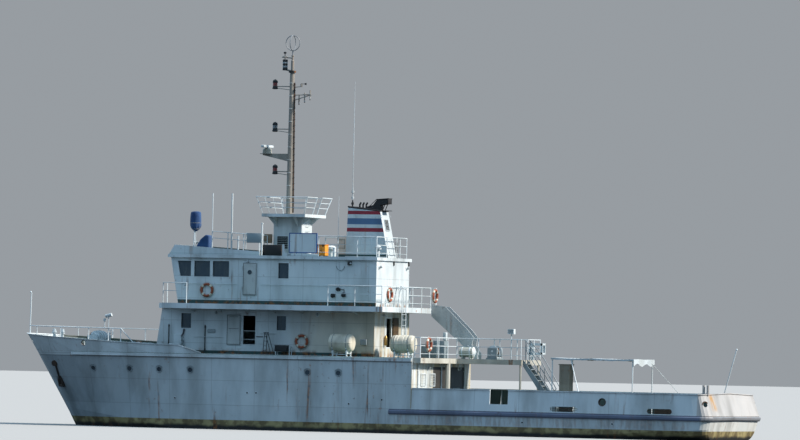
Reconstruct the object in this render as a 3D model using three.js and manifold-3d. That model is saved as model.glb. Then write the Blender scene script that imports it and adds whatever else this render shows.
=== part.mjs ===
// Small coastal working vessel, white, with a raised fore body, a two-tier deckhouse, a pole mast,
// a striped funnel and a low working deck aft. Millimetres: +X forward, +Y to port, +Z up.
// The origin is amidships, on the centre line, at the waterline.
import * as THREE from "three";
import { mergeVertices } from "three/addons/utils/BufferGeometryUtils.js";
import Module from "manifold-3d";

const wasm = await Module();
wasm.setup();

// Driving dimensions

const seat = 0.3; // the gap between a piece and what carries it
const slack = 0.4; // the gap at a pin or a shaft

const hull = {
  mainDeck: 1250, raisedDeck: 3860, raisedEnd: -3800,
  stemFoot: 16450, stemRake: 0.6, forefoot: 2200, draught: 2500, rakeStart: 8000,
  stations: 27, girthSteps: 7,
  sternRake: { from: -16500, below: 0.25, above: 0.284 },
};

// Hull lines, stern to stem: station x at the waterline, height of the keel, half beams at the main
// deck and at the raised deck, and the fullness of the section (1 is a vee, 4 is nearly a box).
const hullLines = [
  { x: -19400, keel: -150, main: 3700, raised: 3700, full: 4.0 },
  { x: -19200, keel: -180, main: 4000, raised: 4000, full: 4.2 },
  { x: -18700, keel: -240, main: 4110, raised: 4110, full: 4.2 },
  { x: -16500, keel: -560, main: 4160, raised: 4160, full: 4.0 },
  { x: -12500, keel: -1500, main: 4190, raised: 4190, full: 3.4 },
  { x: -8500, keel: -2350, main: 4200, raised: 4200, full: 3.4 },
  { x: -3800, keel: -2500, main: 4200, raised: 4200, full: 3.8 },
  { x: 2000, keel: -2500, main: 4200, raised: 4200, full: 4.0 },
  { x: 7000, keel: -2500, main: 4100, raised: 4180, full: 3.2 },
  { x: 10500, keel: -2500, main: 3720, raised: 4030, full: 2.4 },
  { x: 13000, keel: -2500, main: 2980, raised: 3660, full: 1.8 },
  { x: 15000, keel: -2500, main: 1900, raised: 2900, full: 1.4 },
  { x: 15950, keel: -2500, main: 920, raised: 1680, full: 1.3 },
  { x: 16450, keel: -2500, main: 60, raised: 60, full: 1.6 },
];

const strake = { z: 1100, height: 220, proud: 90, start: -2600 };
const deckStrake = { z: 3740, height: 220, proud: 80, start: -3780, end: 14200 };

const bowBulwark = {
  start: 7860, full: 9030, lowTop: 420, highTop: 880, thick: 60, capWide: 150, cap: 40,
  holes: [{ x: 14590, z: 4270, r: 140 }, { x: 18470, z: 4370, r: 90 }],
};
const aftBulwark = {
  height: 1090, lean: -0.06, thick: 60, capWide: 150, cap: 40, gateFore: -8030, gateAft: -9000,
  gateSill: 360, transomRise: 80,
};
const freeingPorts = [
  { from: -11270, to: -12720, low: 1300, high: 1560 },
  { from: -16420, to: -17750, low: 1300, high: 1560 },
];
const fairleads = [{ x: -14040, z: 1830, r: 170 }];
const quarterLeads = { x: -19440, y: 3860, z: 1820, r: 130, out: [-0.83, 0.55] };
const bitts = { x: -19270, y: 3400, apart: 110, r: 70, low: 2320, top: 2790 };
const bowVents = { xs: [17580, 17120], y: 600, neck: 75, head: 125, low: 4600, top: 4970 };
const anchor = { top: [16710, 2400, 3200], foot: [16630, 1655, 2060], across: [0.68, -0.73, 0], crown: 300 };

const lowerHouse = { aft: -1020, foreLow: 11070, foreHigh: 10700, half: 2450, wall: 80, top: 6320 };
const bridgeDeck = {
  nose: 10860, noseHalf: 2560, aft: -2000, fore: 10150, half: 3900, top: 6420,
  plate: 100, fascia: 270, edge: 60,
};
const upperHouse = { aft: -1020, foreLow: 9920, foreHigh: 10360, half: 2300, wall: 80, top: 8780 };
const roof = { aft: -1100, fore: 10480, half: 2450, top: 8940, mid: 4190 };
const parapet = { aft: 5430, foreLow: 10480, foreHigh: 10170, aftTop: 9140, foreTop: 9430, wall: 60 };

// Windows and door openings of each tier: side windows by x and z, front windows by y and z.
const lowerWindows = [
  { from: 9100, to: 9650, low: 5150, high: 5910 },
  { from: 3830, to: 4340, low: 5120, high: 5850 },
];
const upperWindows = [
  { from: 8170, to: 9050, low: 7810, high: 8620 },
  { from: 7110, to: 8020, low: 7810, high: 8620 },
  { from: 3810, to: 4380, low: 7780, high: 8570 },
];
const wingWindow = { low: 7820, high: 8610, aft: 9230, foreLow: 10030, foreHigh: 10190 };
const frontWindows = { count: 5, pitch: 860, wide: 720, low: 7820, high: 8610 };
const lowerFront = { count: 3, pitch: 1400, wide: 560, low: 5150, high: 5850 };
const glass = { thick: 12 };

// Doors: leaf and knuckles turn about the hinge, lugs stay on the wall. Turn is the leaf's direction at
// rest, in degrees from +X towards +Y. Wall is the direction from the hinge to its wall.
const door = { off: 45, leafStart: 40, wide: 795, thick: 50, knuckle: 20, knuckleTall: 120, overlap: 40 };
const doors = [
  { name: "door_lower_port", x: 6285, side: 1, turn: 0, wall: -90, low: 4330, high: 5880, tier: "lower" },
  { name: "door_lower_starboard", x: 6285, side: -1, turn: 180, wall: 90, low: 4330, high: 5880, tier: "lower" },
  { name: "door_bridge_port", x: 6350, side: 1, turn: 180, wall: -90, low: 6890, high: 8560, tier: "upper" },
  { name: "door_bridge_starboard", x: 6350, side: -1, turn: 180, wall: 90, low: 6890, high: 8560, tier: "upper" },
  { name: "door_lower_aft", y: 0, turn: -90, wall: 0, low: 4330, high: 5880, tier: "lower" },
];

const platform = { aft: -7740, port: -1100, starboard: -4000, edgeAft: -4230, half: 4100, plate: 100, fascia: 260 };
const rails = { tall: 1040, tube: 24, post: 26, sides: 6 };
// The upper stair's sides are plated up to the handrail. Outlines are [x, z], the foot last.
const bridgeStair = {
  y: -3400, wide: 640, plate: 40, treads: 9, tread: [[-4330, 4050], [-2180, 6190]],
  side: [[-2000, 6010], [-2000, 6600], [-2770, 6510], [-4020, 5350], [-4350, 4970], [-4260, 4580], [-4560, 4150],
    [-4560, 3860], [-4400, 3860], [-4400, 4020], [-4050, 4290]],
  slot: [[-2760, 5960], [-2690, 6030], [-3400, 5370], [-3470, 5300]],
};
const aftStair = {
  y: -1700, wide: 700, foreX: -7740, top: 3860, aftX: -9600, foot: 1250, treads: 9,
  handrail: [[-7840, 4880], [-8670, 3880], [-9560, 2420]], middle: [[-7900, 4330], [-9300, 2200]],
  stanchions: [0.06, 0.5, 0.94],
};
const ladder = { y: 1130, x: -2110, wide: 560, gap: 340, rungs: 9 };

const mastHouse = { fore: 5340, aft: 3790, half: 700, top: 10960 };
const mastPlatform = { fore: 5720, aft: 3320, half: 1450, top: 11110, thick: 110 };
const mast = { x: 4770, footR: 190, topR: 120, top: 18420 };
// Lamps before the mast, each on a pair of arms: reach from the mast's middle and the upper arm's height.
const mastLamps = [
  { reach: 940, z: 17700, tall: 330, r: 105 }, { reach: 900, z: 15500, tall: 330, r: 115 },
  { reach: 850, z: 13310, tall: 330, r: 105 },
];
const mastHead = { x: 4900, collar: 18420, lantern: { x: 5180, low: 18550, top: 19060, r: 120 }, dish: 19200, top: 19480 };
const yard = { reach: 1090, z: 17290, roots: [17260, 16950], insulators: [[4370, 16850], [4060, 16960], [3760, 17090]] };
const topGear = {
  x: 9990, lampR: 290, lampLow: 10180, lampTop: 11200, apart: 100,
  compass: [[9080, null], [9900, null], [9880, 9380], [9350, 10030], [9120, 9980]],
};
const funnel = { foreLow: 1390, foreHigh: 1290, aftLow: -970, aftHigh: -470, half: 580, foreTop: 11540, aftTop: 11340 };
const funnelCasing = { fore: 1900, half: 480, top: 10040 }; // the low casing before the funnel

const raft = { r: 455, long: 1300, cradle: 270 };
const propeller = { x: -16600, z: -1600, r: 760, hub: 130, hubLong: 420, blades: 4 };
const rudder = { x: -17750, fore: 220, aft: 850, low: -2380, high: -700, stockTop: -560, stock: 75, thick: 170 };
const heel = { low: -2520, high: -2410, half: 90, aft: -17950 };

const windlass = { x: 15300, z: 680, long: 1500 };
const foreHatch = { x: 12900, half: 450, tall: 400, wall: 60, lid: 60, overhang: 40 };
const winch = { x: -6050, y: -1700, z: 420, long: 900 };
const awning = { fore: -10310, aft: -14750, half: 1550, z: 3990, thick: 40, post: 30 };
const awningProp = { head: [-11370, 1540, 3880], foot: [-12480, 2600, 1250] };
const tank = { x: -4060, end: -4780, y: -2000, z: 4210, r: 270 };
const whip = { x: 1130, y: 380, top: 17950 };
const trunk = { x: -10950, y: 1000, half: 275, top: 3700 };

// Materials

const paint = (color, roughness = 0.55, metalness = 0) =>
  new THREE.MeshStandardMaterial({ color, roughness, metalness });
const finish = {
  white: paint(0xdfe3e4),
  cream: paint(0xe2dccb),
  deck: paint(0x3f5a50, 0.8),
  grey: paint(0x8b969b, 0.5, 0.2),
  black: paint(0x17181a, 0.6),
  bronze: paint(0xa67c3b, 0.35, 0.9),
  glass: paint(0x26323a, 0.1),
  red: paint(0x8e1c1c, 0.4),
  blue: paint(0x1f4f86, 0.6),
  orange: paint(0xc8751f, 0.6),
  canvas: paint(0xd9dcdc, 0.9),
  buff: paint(0xa89b84, 0.7),
};

// Building blocks

function solid(geometry) {
  const bare = geometry.index ? geometry.toNonIndexed() : geometry.clone();
  const positions = new THREE.BufferGeometry().setAttribute("position", bare.getAttribute("position"));
  const merged = mergeVertices(positions, 1e-3);
  return new wasm.Manifold(
    new wasm.Mesh({
      numProp: 3,
      vertProperties: merged.attributes.position.array,
      triVerts: new Uint32Array(merged.index.array),
    }),
  );
}

const join = (...parts) => parts.flat(Infinity).reduce((whole, part) => whole.add(part));
const cut = (body, ...tools) => tools.flat(Infinity).reduce((left, tool) => left.subtract(tool), body);

function box(x0, x1, y0, y1, z0, z1) {
  const made = new THREE.BoxGeometry(Math.abs(x1 - x0), Math.abs(y1 - y0), Math.abs(z1 - z0));
  return solid(made.translate((x0 + x1) / 2, (y0 + y1) / 2, (z0 + z1) / 2));
}

// A round bar from a to b, given as [x, y, z]; a second radius makes it a cone.
function rod(a, b, r, sides = 8, r2 = r) {
  const from = new THREE.Vector3(...a);
  const along = new THREE.Vector3(...b).sub(from);
  const made = new THREE.CylinderGeometry(r2, r, along.length(), sides);
  made.translate(0, along.length() / 2, 0);
  made.applyQuaternion(new THREE.Quaternion().setFromUnitVectors(new THREE.Vector3(0, 1, 0), along.normalize()));
  return solid(made.translate(...a));
}

// Flat outlines pulled out: prismY along Y from an [x, z] outline, prismZ along Z from an [x, y] outline.
function extruded(outline, depth) {
  const shape = new THREE.Shape(outline.map(([u, v]) => new THREE.Vector2(u, v)));
  return new THREE.ExtrudeGeometry(shape, { depth, bevelEnabled: false });
}
const prismZ = (outline, z0, z1) => solid(extruded(outline, z1 - z0).translate(0, 0, z0));
const prismY = (outline, y0, y1) => solid(extruded(outline, y1 - y0).rotateX(Math.PI / 2).translate(0, y1, 0));
const prismX = (outline, x0, x1) => {
  const turned = new THREE.Matrix4().makeBasis(
    new THREE.Vector3(0, 1, 0), new THREE.Vector3(0, 0, 1), new THREE.Vector3(1, 0, 0));
  return solid(extruded(outline, x1 - x0).applyMatrix4(turned).translate(x0, 0, 0));
};

// A ring turned about a line through centre: along "x", "y" or "z".
function torus(centre, r, tube, facing, sides = 6, steps = 16) {
  const made = new THREE.TorusGeometry(r, tube, sides, steps);
  if (facing === "x") made.rotateY(Math.PI / 2);
  if (facing === "y") made.rotateX(Math.PI / 2);
  return solid(made.translate(...centre));
}

// A closed skin over rings of points. The two end rings are closed as ladders of quads between
// point j and point n - 1 - j, so each ring runs down one side and up the other.
function loft(rings) {
  const n = rings[0].length;
  const points = rings.flat();
  const faces = [];
  const quad = (a, b, c, d) => faces.push(a, b, c, a, c, d);
  for (let i = 0; i + 1 < rings.length; i++) {
    for (let j = 0; j < n; j++) {
      const next = (j + 1) % n;
      quad(i * n + j, i * n + next, (i + 1) * n + next, (i + 1) * n + j);
    }
  }
  const last = (rings.length - 1) * n;
  for (let j = 0; j + 1 < n / 2; j++) {
    quad(j, n - 1 - j, n - 2 - j, j + 1);
    quad(last + j, last + j + 1, last + n - 2 - j, last + n - 1 - j);
  }
  const made = new THREE.BufferGeometry();
  made.setAttribute("position", new THREE.Float32BufferAttribute(points.flat(), 3));
  made.setIndex(faces);
  const body = solid(made);
  return body.volume() > 0 ? body : solid(turnedInsideOut(made));
}

function turnedInsideOut(geometry) {
  const turned = geometry.clone();
  turned.setIndex([...geometry.index.array].reverse());
  return turned;
}

// A profile of [outward, up] points carried along a level path of [x, y, z] points. Outward is to the
// right of the direction of travel. The profile may change with the place on the path.
function sweep(path, profileAt, scaleMost = 2) {
  const way = path.map(([x, y]) => new THREE.Vector2(x, y));
  const rings = path.map(([x, y, z], i) => {
    const before = i > 0 ? way[i].clone().sub(way[i - 1]).normalize() : null;
    const after = i + 1 < way.length ? way[i + 1].clone().sub(way[i]).normalize() : null;
    const mean = (before ?? after).clone().add(after ?? before).normalize();
    const stretch = Math.min(scaleMost, 1 / Math.max(0.2, mean.dot(after ?? before)));
    const outX = mean.y * stretch;
    const outY = -mean.x * stretch;
    return profileAt(i, outX, outY).map(([out, up]) => [x + out * outX, y + out * outY, z + up]);
  });
  return loft(rings);
}

const mirrored = (path) => path.map(([x, y, z]) => [x, -y, z]);

const vessel = new THREE.Group();
function add(name, body, material, at = [0, 0, 0], turn = 0) {
  const found = body.getMesh();
  const made = new THREE.BufferGeometry();
  const corners = new Float32Array(found.numVert * 3);
  for (let i = 0; i < found.numVert; i++) {
    corners.set(found.vertProperties.subarray(i * found.numProp, i * found.numProp + 3), i * 3);
  }
  made.setAttribute("position", new THREE.BufferAttribute(corners, 3));
  made.setIndex(new THREE.BufferAttribute(found.triVerts.slice(), 1));
  const mesh = new THREE.Mesh(made.toNonIndexed(), material);
  mesh.geometry.computeVertexNormals();
  mesh.name = name;
  mesh.position.set(...at);
  mesh.rotation.z = THREE.MathUtils.degToRad(turn);
  vessel.add(mesh);
  return mesh;
}

// Hull form

const stemX = (z) => (z > 0 ? hull.stemFoot + hull.stemRake * z
  : hull.stemFoot - hull.forefoot * (z / hull.draught) ** 2);
const lean = (x) => Math.max(0, (x - hull.rakeStart) / (hull.stemFoot - hull.rakeStart)) ** 2;

const beamLine = new THREE.CatmullRomCurve3(
  hullLines.map((s) => new THREE.Vector3(s.x, s.main, s.raised)), false, "catmullrom", 0.5);
const keelLine = new THREE.CatmullRomCurve3(
  hullLines.map((s) => new THREE.Vector3(s.x, s.keel, s.full * 1000)), false, "catmullrom", 0.5);

// Two samples in each gap of the table, so that a station lies on every row.
const steps = (hullLines.length - 1) * 2;
const frames = Array.from({ length: steps + 1 }, (_, i) => {
  const beam = beamLine.getPoint(i / steps);
  const keel = keelLine.getPoint(i / steps);
  return { x: beam.x, main: beam.y, raised: beam.z, keel: Math.max(keel.y, -hull.draught), full: keel.z / 1000 };
});

const atHeight = (frame, z) => frame.x + lean(frame.x) * (stemX(z) - hull.stemFoot);

// The transom leans aft from the waterline up to the deck, and its bulwark leans forward again.
// The whole stern is sheared so, ever less towards the point where the rake starts.
function raked(body) {
  const { from, below, above } = hull.sternRake;
  return body.warp((point) => {
    const [x, , z] = point;
    const share = Math.max(0, (from - x) / (from - hullLines[0].x)) ** 2;
    const up = Math.min(Math.max(z, 0), hull.mainDeck) * below - Math.max(0, z - hull.mainDeck) * above;
    point[0] -= share * up;
  });
}

function lowerRing(frame) {
  const half = Array.from({ length: hull.girthSteps + 1 }, (_, j) => {
    const turn = (Math.PI / 2) * (1 - j / hull.girthSteps);
    const y = frame.main * Math.sin(turn) ** (2 / frame.full);
    const z = hull.mainDeck - (hull.mainDeck - frame.keel) * Math.cos(turn) ** (2 / frame.full);
    return j === hull.girthSteps ? [0, frame.keel] : [y, z];
  });
  const keelFlat = Math.max(20, half[hull.girthSteps - 1][0] * 0.25);
  half[hull.girthSteps][0] = keelFlat;
  const port = half.map(([y, z]) => [atHeight(frame, z), y, z]);
  return [...port, ...port.slice().reverse().map(([x, y, z]) => [x, -y, z])];
}

function upperPoint(frame, z) {
  const share = (z - hull.mainDeck) / (hull.raisedDeck - hull.mainDeck);
  return [atHeight(frame, z), frame.main + (frame.raised - frame.main) * share, z];
}

function upperRing(frame) {
  const port = [upperPoint(frame, hull.raisedDeck), upperPoint(frame, hull.mainDeck)];
  return [...port, ...port.slice().reverse().map(([x, y, z]) => [x, -y, z])];
}

const foreFrames = frames.filter((f) => f.x >= hull.raisedEnd - 1);
const isBetween = (low, high) => (frame) => frame.x > low + 1 && frame.x < high - 1;

// The hull's own side at a given x, for pieces that start or end between two stations.
function sideAt(x, pick) {
  const i = frames.findIndex((f, k) => frames[k + 1] && f.x <= x && frames[k + 1].x >= x);
  const share = (x - frames[i].x) / (frames[i + 1].x - frames[i].x);
  return pick(frames[i]) + (pick(frames[i + 1]) - pick(frames[i])) * share;
}

function frameAt(x) {
  return { x, main: sideAt(x, (f) => f.main), raised: sideAt(x, (f) => f.raised) };
}

function sternPath(z, from, reach = 0) {
  const side = [frameAt(from), ...frames.filter(isBetween(frames[0].x, from)).reverse()];
  const port = side.map((f) => [f.x, f.main + reach, z]);
  const corner = [frames[0].x, frames[0].main + reach, z];
  return [...port, corner, ...mirrored([...port, corner]).reverse()];
}

// The lower strake rises a little at the middle of the transom, as the deck does.
function sternStrake() {
  const path = sternPath(strake.z, strake.start);
  const half = path.length / 2;
  const crown = [frames[0].x, 0, strake.z + 35];
  const whole = [...path.slice(0, half), crown, ...path.slice(half)];
  const low = -strake.height / 2;
  const band = [[-60, low], [strake.proud * 0.6, low], [strake.proud, low + 60],
    [strake.proud, -low - 60], [strake.proud * 0.6, -low], [-60, -low]];
  return sweep(whole, () => band);
}

function deckStrakes() {
  const low = -deckStrake.height / 2;
  const band = [[60, low], [-deckStrake.proud, low + 40], [-deckStrake.proud, -low - 40], [60, -low]];
  const inside = [frameAt(deckStrake.start), ...frames.filter(isBetween(deckStrake.start, deckStrake.end)),
    frameAt(deckStrake.end)];
  const port = inside.map((f) => upperPoint(f, deckStrake.z));
  return [sweep(port, () => band), sweep(mirrored(port).reverse(), () => band)];
}

function skeg() {
  const fin = prismY([[-15900, -500], [-15900, heel.low], [-8500, heel.low], [-8500, -1500]], -120, 120);
  const sole = prismY([[-15950, heel.low], [heel.aft, heel.low], [heel.aft, heel.high], [-15850, heel.high]],
    -heel.half, heel.half);
  const tubeEnd = propeller.x + propeller.hubLong / 2 + slack;
  const sternTube = rod([-12800, 0, propeller.z], [tubeEnd, 0, propeller.z], 230, 10, 165);
  const rudderTrunk = rod([rudder.x, 0, rudder.stockTop + slack], [rudder.x, 0, 0], 140, 10);
  return [fin, sole, sternTube, rudderTrunk];
}

// Two mushroom ventilators near the stem, welded to the fore deck.
const ventHeads = bowVents.xs.map((x) => [
  rod([x, bowVents.y, hull.raisedDeck - 50], [x, bowVents.y, bowVents.top - 60], bowVents.neck, 10),
  rod([x, bowVents.y, bowVents.low + 130], [x, bowVents.y, bowVents.top], bowVents.head, 12, bowVents.head * 0.6)]);

const hullBody = join(raked(join(loft(frames.map(lowerRing)), sternStrake())), loft(foreFrames.map(upperRing)),
  deckStrakes(), skeg(), ventHeads);
add("hull", hullBody, finish.white);

// Bulwarks: plates on the deck edge with a flat cap rail

function bulwarkProfile(tall, spread, spec) {
  const over = (spec.capWide - spec.thick) / 2;
  const out = (up) => -spread * up;
  const top = tall - spec.cap;
  return [
    [out(0), 0], [out(top), top], [out(top) - over, top], [out(tall) - over, tall],
    [out(tall) + spec.thick + over, tall], [out(top) + spec.thick + over, top],
    [out(top) + spec.thick, top], [out(0) + spec.thick, 0],
  ];
}

const slopeOf = (frame) => (frame.raised - frame.main) / (hull.raisedDeck - hull.mainDeck);

// The height of the bow bulwark over the deck: nothing at its aft end, then a long gentle sheer.
function bowHeight(x) {
  if (x < bowBulwark.full) {
    return 60 + (bowBulwark.lowTop - 60) * ((x - bowBulwark.start) / (bowBulwark.full - bowBulwark.start));
  }
  const share = (x - bowBulwark.full) / (hull.stemFoot - bowBulwark.full);
  return bowBulwark.lowTop + (bowBulwark.highTop - bowBulwark.lowTop) * share ** 1.6;
}

const bowFrames = [frameAt(bowBulwark.start), frameAt(bowBulwark.full),
  ...frames.filter(isBetween(bowBulwark.full, hull.stemFoot + 10))];

function bowBulwarkBody() {
  const port = bowFrames.map((f) => upperPoint(f, hull.raisedDeck + seat));
  const all = [...bowFrames, ...bowFrames.slice().reverse()];
  return sweep([...port, ...mirrored(port).reverse()], (i, outX, outY) => {
    const frame = all[i];
    const spread = Math.abs(outX) * hull.stemRake * lean(frame.x) + Math.abs(outY) * slopeOf(frame);
    return bulwarkProfile(bowHeight(frame.x), spread, bowBulwark);
  }, 1.6);
}
const bowBulwarkWhole = cut(bowBulwarkBody(),
  bowBulwark.holes.map((h) => rod([h.x, -5000, h.z], [h.x, 5000, h.z], h.r, 12)));
add("bow_bulwark", bowBulwarkWhole, finish.white);

function aftBulwarkBody() {
  const base = hull.mainDeck + seat;
  const path = sternPath(base, hull.raisedEnd - seat);
  const half = path.length / 2;
  const whole = [...path.slice(0, half), [frames[0].x, 0, base], ...path.slice(half)];
  const body = sweep(whole, (i) => {
    const rise = i === half ? aftBulwark.transomRise : 0;
    return bulwarkProfile(aftBulwark.height + rise, aftBulwark.lean, aftBulwark).map(([out, up]) => [-out, up]);
  });
  const reach = hull.stations * 200;
  const ports = freeingPorts.map((p) => {
    const r = (p.high - p.low) / 2;
    const ends = [p.from - r, p.to + r];
    return [box(...ends, -reach, reach, p.low, p.high),
      ends.map((x) => rod([x, -reach, p.low + r], [x, reach, p.low + r], r, 16))];
  });
  const holes = fairleads.map((f) => rod([f.x, -reach, f.z], [f.x, reach, f.z], f.r, 12));
  const { x, y, z, r, out } = quarterLeads;
  const quarter = [-1, 1].map((side) =>
    rod([x - out[0] * 400, side * (y - out[1] * 400), z], [x + out[0] * 400, side * (y + out[1] * 400), z], r, 16));
  const posts = [-1, 1].map((end) => {
    const at = bitts.x + end * bitts.apart;
    return rod([at, bitts.y, bitts.low], [at, bitts.y, bitts.top], bitts.r, 10);
  });
  const bed = box(bitts.x - 160, bitts.x + 200, bitts.y - 110, bitts.y + 110, bitts.low - 30, bitts.low + 60);
  return cut(join(raked(body), posts, bed), ports, holes, quarter);
}

const aftBulwarkWhole = aftBulwarkBody();
const gate = box(aftBulwark.gateAft, aftBulwark.gateFore, 3000, 5000, hull.mainDeck + aftBulwark.gateSill, 3000);
const gatePost = (gap) => box(aftBulwark.gateFore + gap, 0, 3000, 5000, hull.mainDeck - 100, 3000);
add("aft_bulwark", cut(aftBulwarkWhole, gate, gatePost(0)), finish.white);
add("gate_bulwark", aftBulwarkWhole.intersect(gatePost(seat)), finish.white);

// Moves or copies of a solid, made on its mesh
function meshOf(body) {
  const found = body.getMesh();
  const made = new THREE.BufferGeometry();
  const corners = new Float32Array(found.numVert * 3);
  for (let i = 0; i < found.numVert; i++) {
    corners.set(found.vertProperties.subarray(i * found.numProp, i * found.numProp + 3), i * 3);
  }
  made.setAttribute("position", new THREE.BufferAttribute(corners, 3));
  made.setIndex(new THREE.BufferAttribute(found.triVerts.slice(), 1));
  return made;
}
const moved = (body, x, y, z) => solid(meshOf(body).translate(x, y, z));
const bore = (r, sides) => r / Math.cos(Math.PI / sides) + slack; // a hole that a turning shaft clears
const standingOn = (body, ...carriers) => cut(body, carriers.map((carrier) => moved(carrier, 0, 0, seat)));

// Anchors stowed against the flare, each cut to the hull's own side
function anchorBody(side) {
  const at = (origin, across, along) => {
    const up = new THREE.Vector3(...anchor.top).sub(new THREE.Vector3(...anchor.foot)).normalize();
    const spot = new THREE.Vector3(...origin).addScaledVector(new THREE.Vector3(...anchor.across), across)
      .addScaledVector(up, along);
    return [spot.x, side * spot.y, spot.z];
  };
  const { top, foot, crown } = anchor;
  const flukes = [-1, 1].map((way) =>
    rod(at(foot, way * (crown - 50), -30), at(foot, way * (crown - 90), 560), 95, 6, 25));
  const bill = rod(at(foot, -crown, 0), at(foot, crown, 0), 80, 8);
  const pipe = rod([top[0], side * (top[1] - 350), top[2] + 130], [top[0] + 20, side * (top[1] + 70), top[2] - 20], 160, 12);
  return cut(join(rod(at(top, 0, 40), at(foot, 0, 0), 60, 8), flukes, bill, pipe), moved(hullBody, 0, side * seat, -seat));
}

// Deckhouse: two tiers of plate walls, each with openings cut, and the decks between them

const slanted = (spec, low, high, inset) => {
  const rake = (spec.foreHigh - spec.foreLow) / (spec.top - (spec.low ?? low));
  const foreAt = (z) => spec.foreLow + rake * (z - (spec.low ?? low)) - inset;
  return prismY([[spec.aft + inset, low], [foreAt(low), low], [foreAt(high), high], [spec.aft + inset, high]],
    -spec.half + inset, spec.half - inset);
};

const sideCut = (w, reach = 3000) => box(w.from, w.to, -reach, reach, w.low, w.high);
const wallOf = (spec) => (spec.tier === "lower" ? lowerHouse : upperHouse);

// Places every door by its hinge: [x, y] of the pin, the leaf's turn and the turn of its closed place.
function hingePlace(spec) {
  const wall = wallOf(spec);
  if (spec.y !== undefined) return [wall.aft - door.off, spec.y];
  return [spec.x, spec.side * (wall.half + door.off)];
}

function doorOpening(spec) {
  const wall = wallOf(spec);
  const [x, y] = hingePlace(spec);
  const low = spec.low + door.overlap;
  const high = spec.high - door.overlap;
  if (spec.y !== undefined) return box(wall.aft - 200, wall.aft + 200, y + 75, y + 755, low, high);
  return box(x - 75, x - 755, spec.side * (wall.half - 200), spec.side * (wall.half + 200), low, high);
}

// In the hinge's own frame: the pin at the origin, the leaf along +X, the wall along -Y or +Y.
function doorLeaf(spec) {
  const knuckles = [0.18, 0.82].map((share) => {
    const z = spec.low + (spec.high - spec.low) * share;
    return [rod([0, 0, z], [0, 0, z + door.knuckleTall], door.knuckle, 12),
      box(0, door.leafStart + 10, -10, 10, z, z + door.knuckleTall)];
  });
  const plate = box(door.leafStart, door.wide, -door.thick / 2, door.thick / 2, spec.low, spec.high);
  const middle = (spec.low + spec.high) / 2;
  const handle = rod([door.wide - 90, -38, middle], [door.wide - 90, 38, middle], 16, 8);
  const port = spec.tier === "upper"
    ? [box(260, 600, -100, 100, spec.high - 760, spec.high - 220)] : [];
  const pinHole = rod([0, 0, spec.low - 200], [0, 0, spec.high + 200], bore(10, 12), 12);
  return cut(join(plate, knuckles, handle), pinHole, port);
}

// The lugs and pins that a leaf's knuckles turn on, in the vessel's frame, part of the wall.
function doorLugs(spec) {
  const [x, y] = hingePlace(spec);
  const wall = wallOf(spec);
  return [0.18, 0.82].map((share) => {
    const z = spec.low + (spec.high - spec.low) * share;
    const under = spec.y !== undefined
      ? box(x - 20, wall.aft + 20, y - 20, y + 20, z - 45, z - 6)
      : box(x - 20, x + 20, spec.side * (wall.half - 20), y + spec.side * 20, z - 45, z - 6);
    return [under, rod([x, y, z - 20], [x, y, z + door.knuckleTall + 14], 10, 12)];
  });
}

const tierDoors = (tier) => doors.filter((spec) => spec.tier === tier);

const lowerFloor = hull.raisedDeck + seat;
const lowerTop = bridgeDeck.top - bridgeDeck.plate - seat;
const lowerShell = { ...lowerHouse, low: lowerFloor };
const lowerHouseBody = join(
  cut(slanted(lowerShell, lowerFloor, lowerTop, 0), slanted(lowerShell, lowerFloor - 50, lowerTop + 50, lowerHouse.wall),
    lowerWindows.map((w) => sideCut(w)),
    Array.from({ length: lowerFront.count }, (_, i) => {
      const y = (i - (lowerFront.count - 1) / 2) * lowerFront.pitch;
      return box(10000, 12000, y - lowerFront.wide / 2, y + lowerFront.wide / 2, lowerFront.low, lowerFront.high);
    }),
    tierDoors("lower").map(doorOpening)),
  tierDoors("lower").map(doorLugs));
add("house_lower", lowerHouseBody, finish.white);

function bridgeDeckBody() {
  const { aft, fore, half, top, plate, fascia, edge, nose, noseHalf } = bridgeDeck;
  const side = (inset, sign) => [[aft + inset, sign * (half - inset)], [fore - inset, sign * (half - inset)],
    [fore - inset, sign * (noseHalf - inset + 300)], [nose - inset, sign * (noseHalf - inset)]];
  const outline = (inset) => [...side(inset, -1), ...side(inset, 1).reverse()];
  return cut(prismZ(outline(0), top - fascia, top), prismZ(outline(edge), top - fascia - 50, top - plate));
}
const bridgeDeckWhole = bridgeDeckBody();
add("bridge_deck", bridgeDeckWhole, finish.deck);

const upperFloor = bridgeDeck.top + seat;
const upperTop = upperHouse.top - seat;
const upperShell = { ...upperHouse, low: upperFloor };
function wingCut() {
  const w = wingWindow;
  return prismY([[w.aft, w.low], [w.foreLow - 200, w.low], [w.foreHigh - 200, w.high], [w.aft, w.high]], -3000, 3000);
}
const upperHouseBody = join(
  cut(slanted(upperShell, upperFloor, upperTop, 0), slanted(upperShell, upperFloor - 50, upperTop + 50, upperHouse.wall),
    upperWindows.map((w) => sideCut(w)), wingCut(),
    Array.from({ length: frontWindows.count }, (_, i) => {
      const y = (i - (frontWindows.count - 1) / 2) * frontWindows.pitch;
      return box(9500, 11500, y - frontWindows.wide / 2, y + frontWindows.wide / 2, frontWindows.low, frontWindows.high);
    }),
    tierDoors("upper").map(doorOpening)),
  tierDoors("upper").map(doorLugs));
add("house_upper", upperHouseBody, finish.white);

// Glass: one band inside the walls, round the front of each tier
function glassBand(shell, low, high, from, doorHead) {
  const outer = slanted(shell, low, high, shell.wall + seat);
  const inner = slanted(shell, low - 50, high + 50, shell.wall + seat + glass.thick);
  return cut(outer, inner, box(shell.aft - 100, from, -3000, 3000, low - 100, high + 100),
    box(5350, 6450, -3000, 3000, low - 100, doorHead));
}
add("glass_upper", glassBand(upperShell, 7700, 8700, 3600, 8580), finish.glass);
add("glass_lower", glassBand(lowerShell, 5050, 6000, 3600, 5900), finish.glass);

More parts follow.
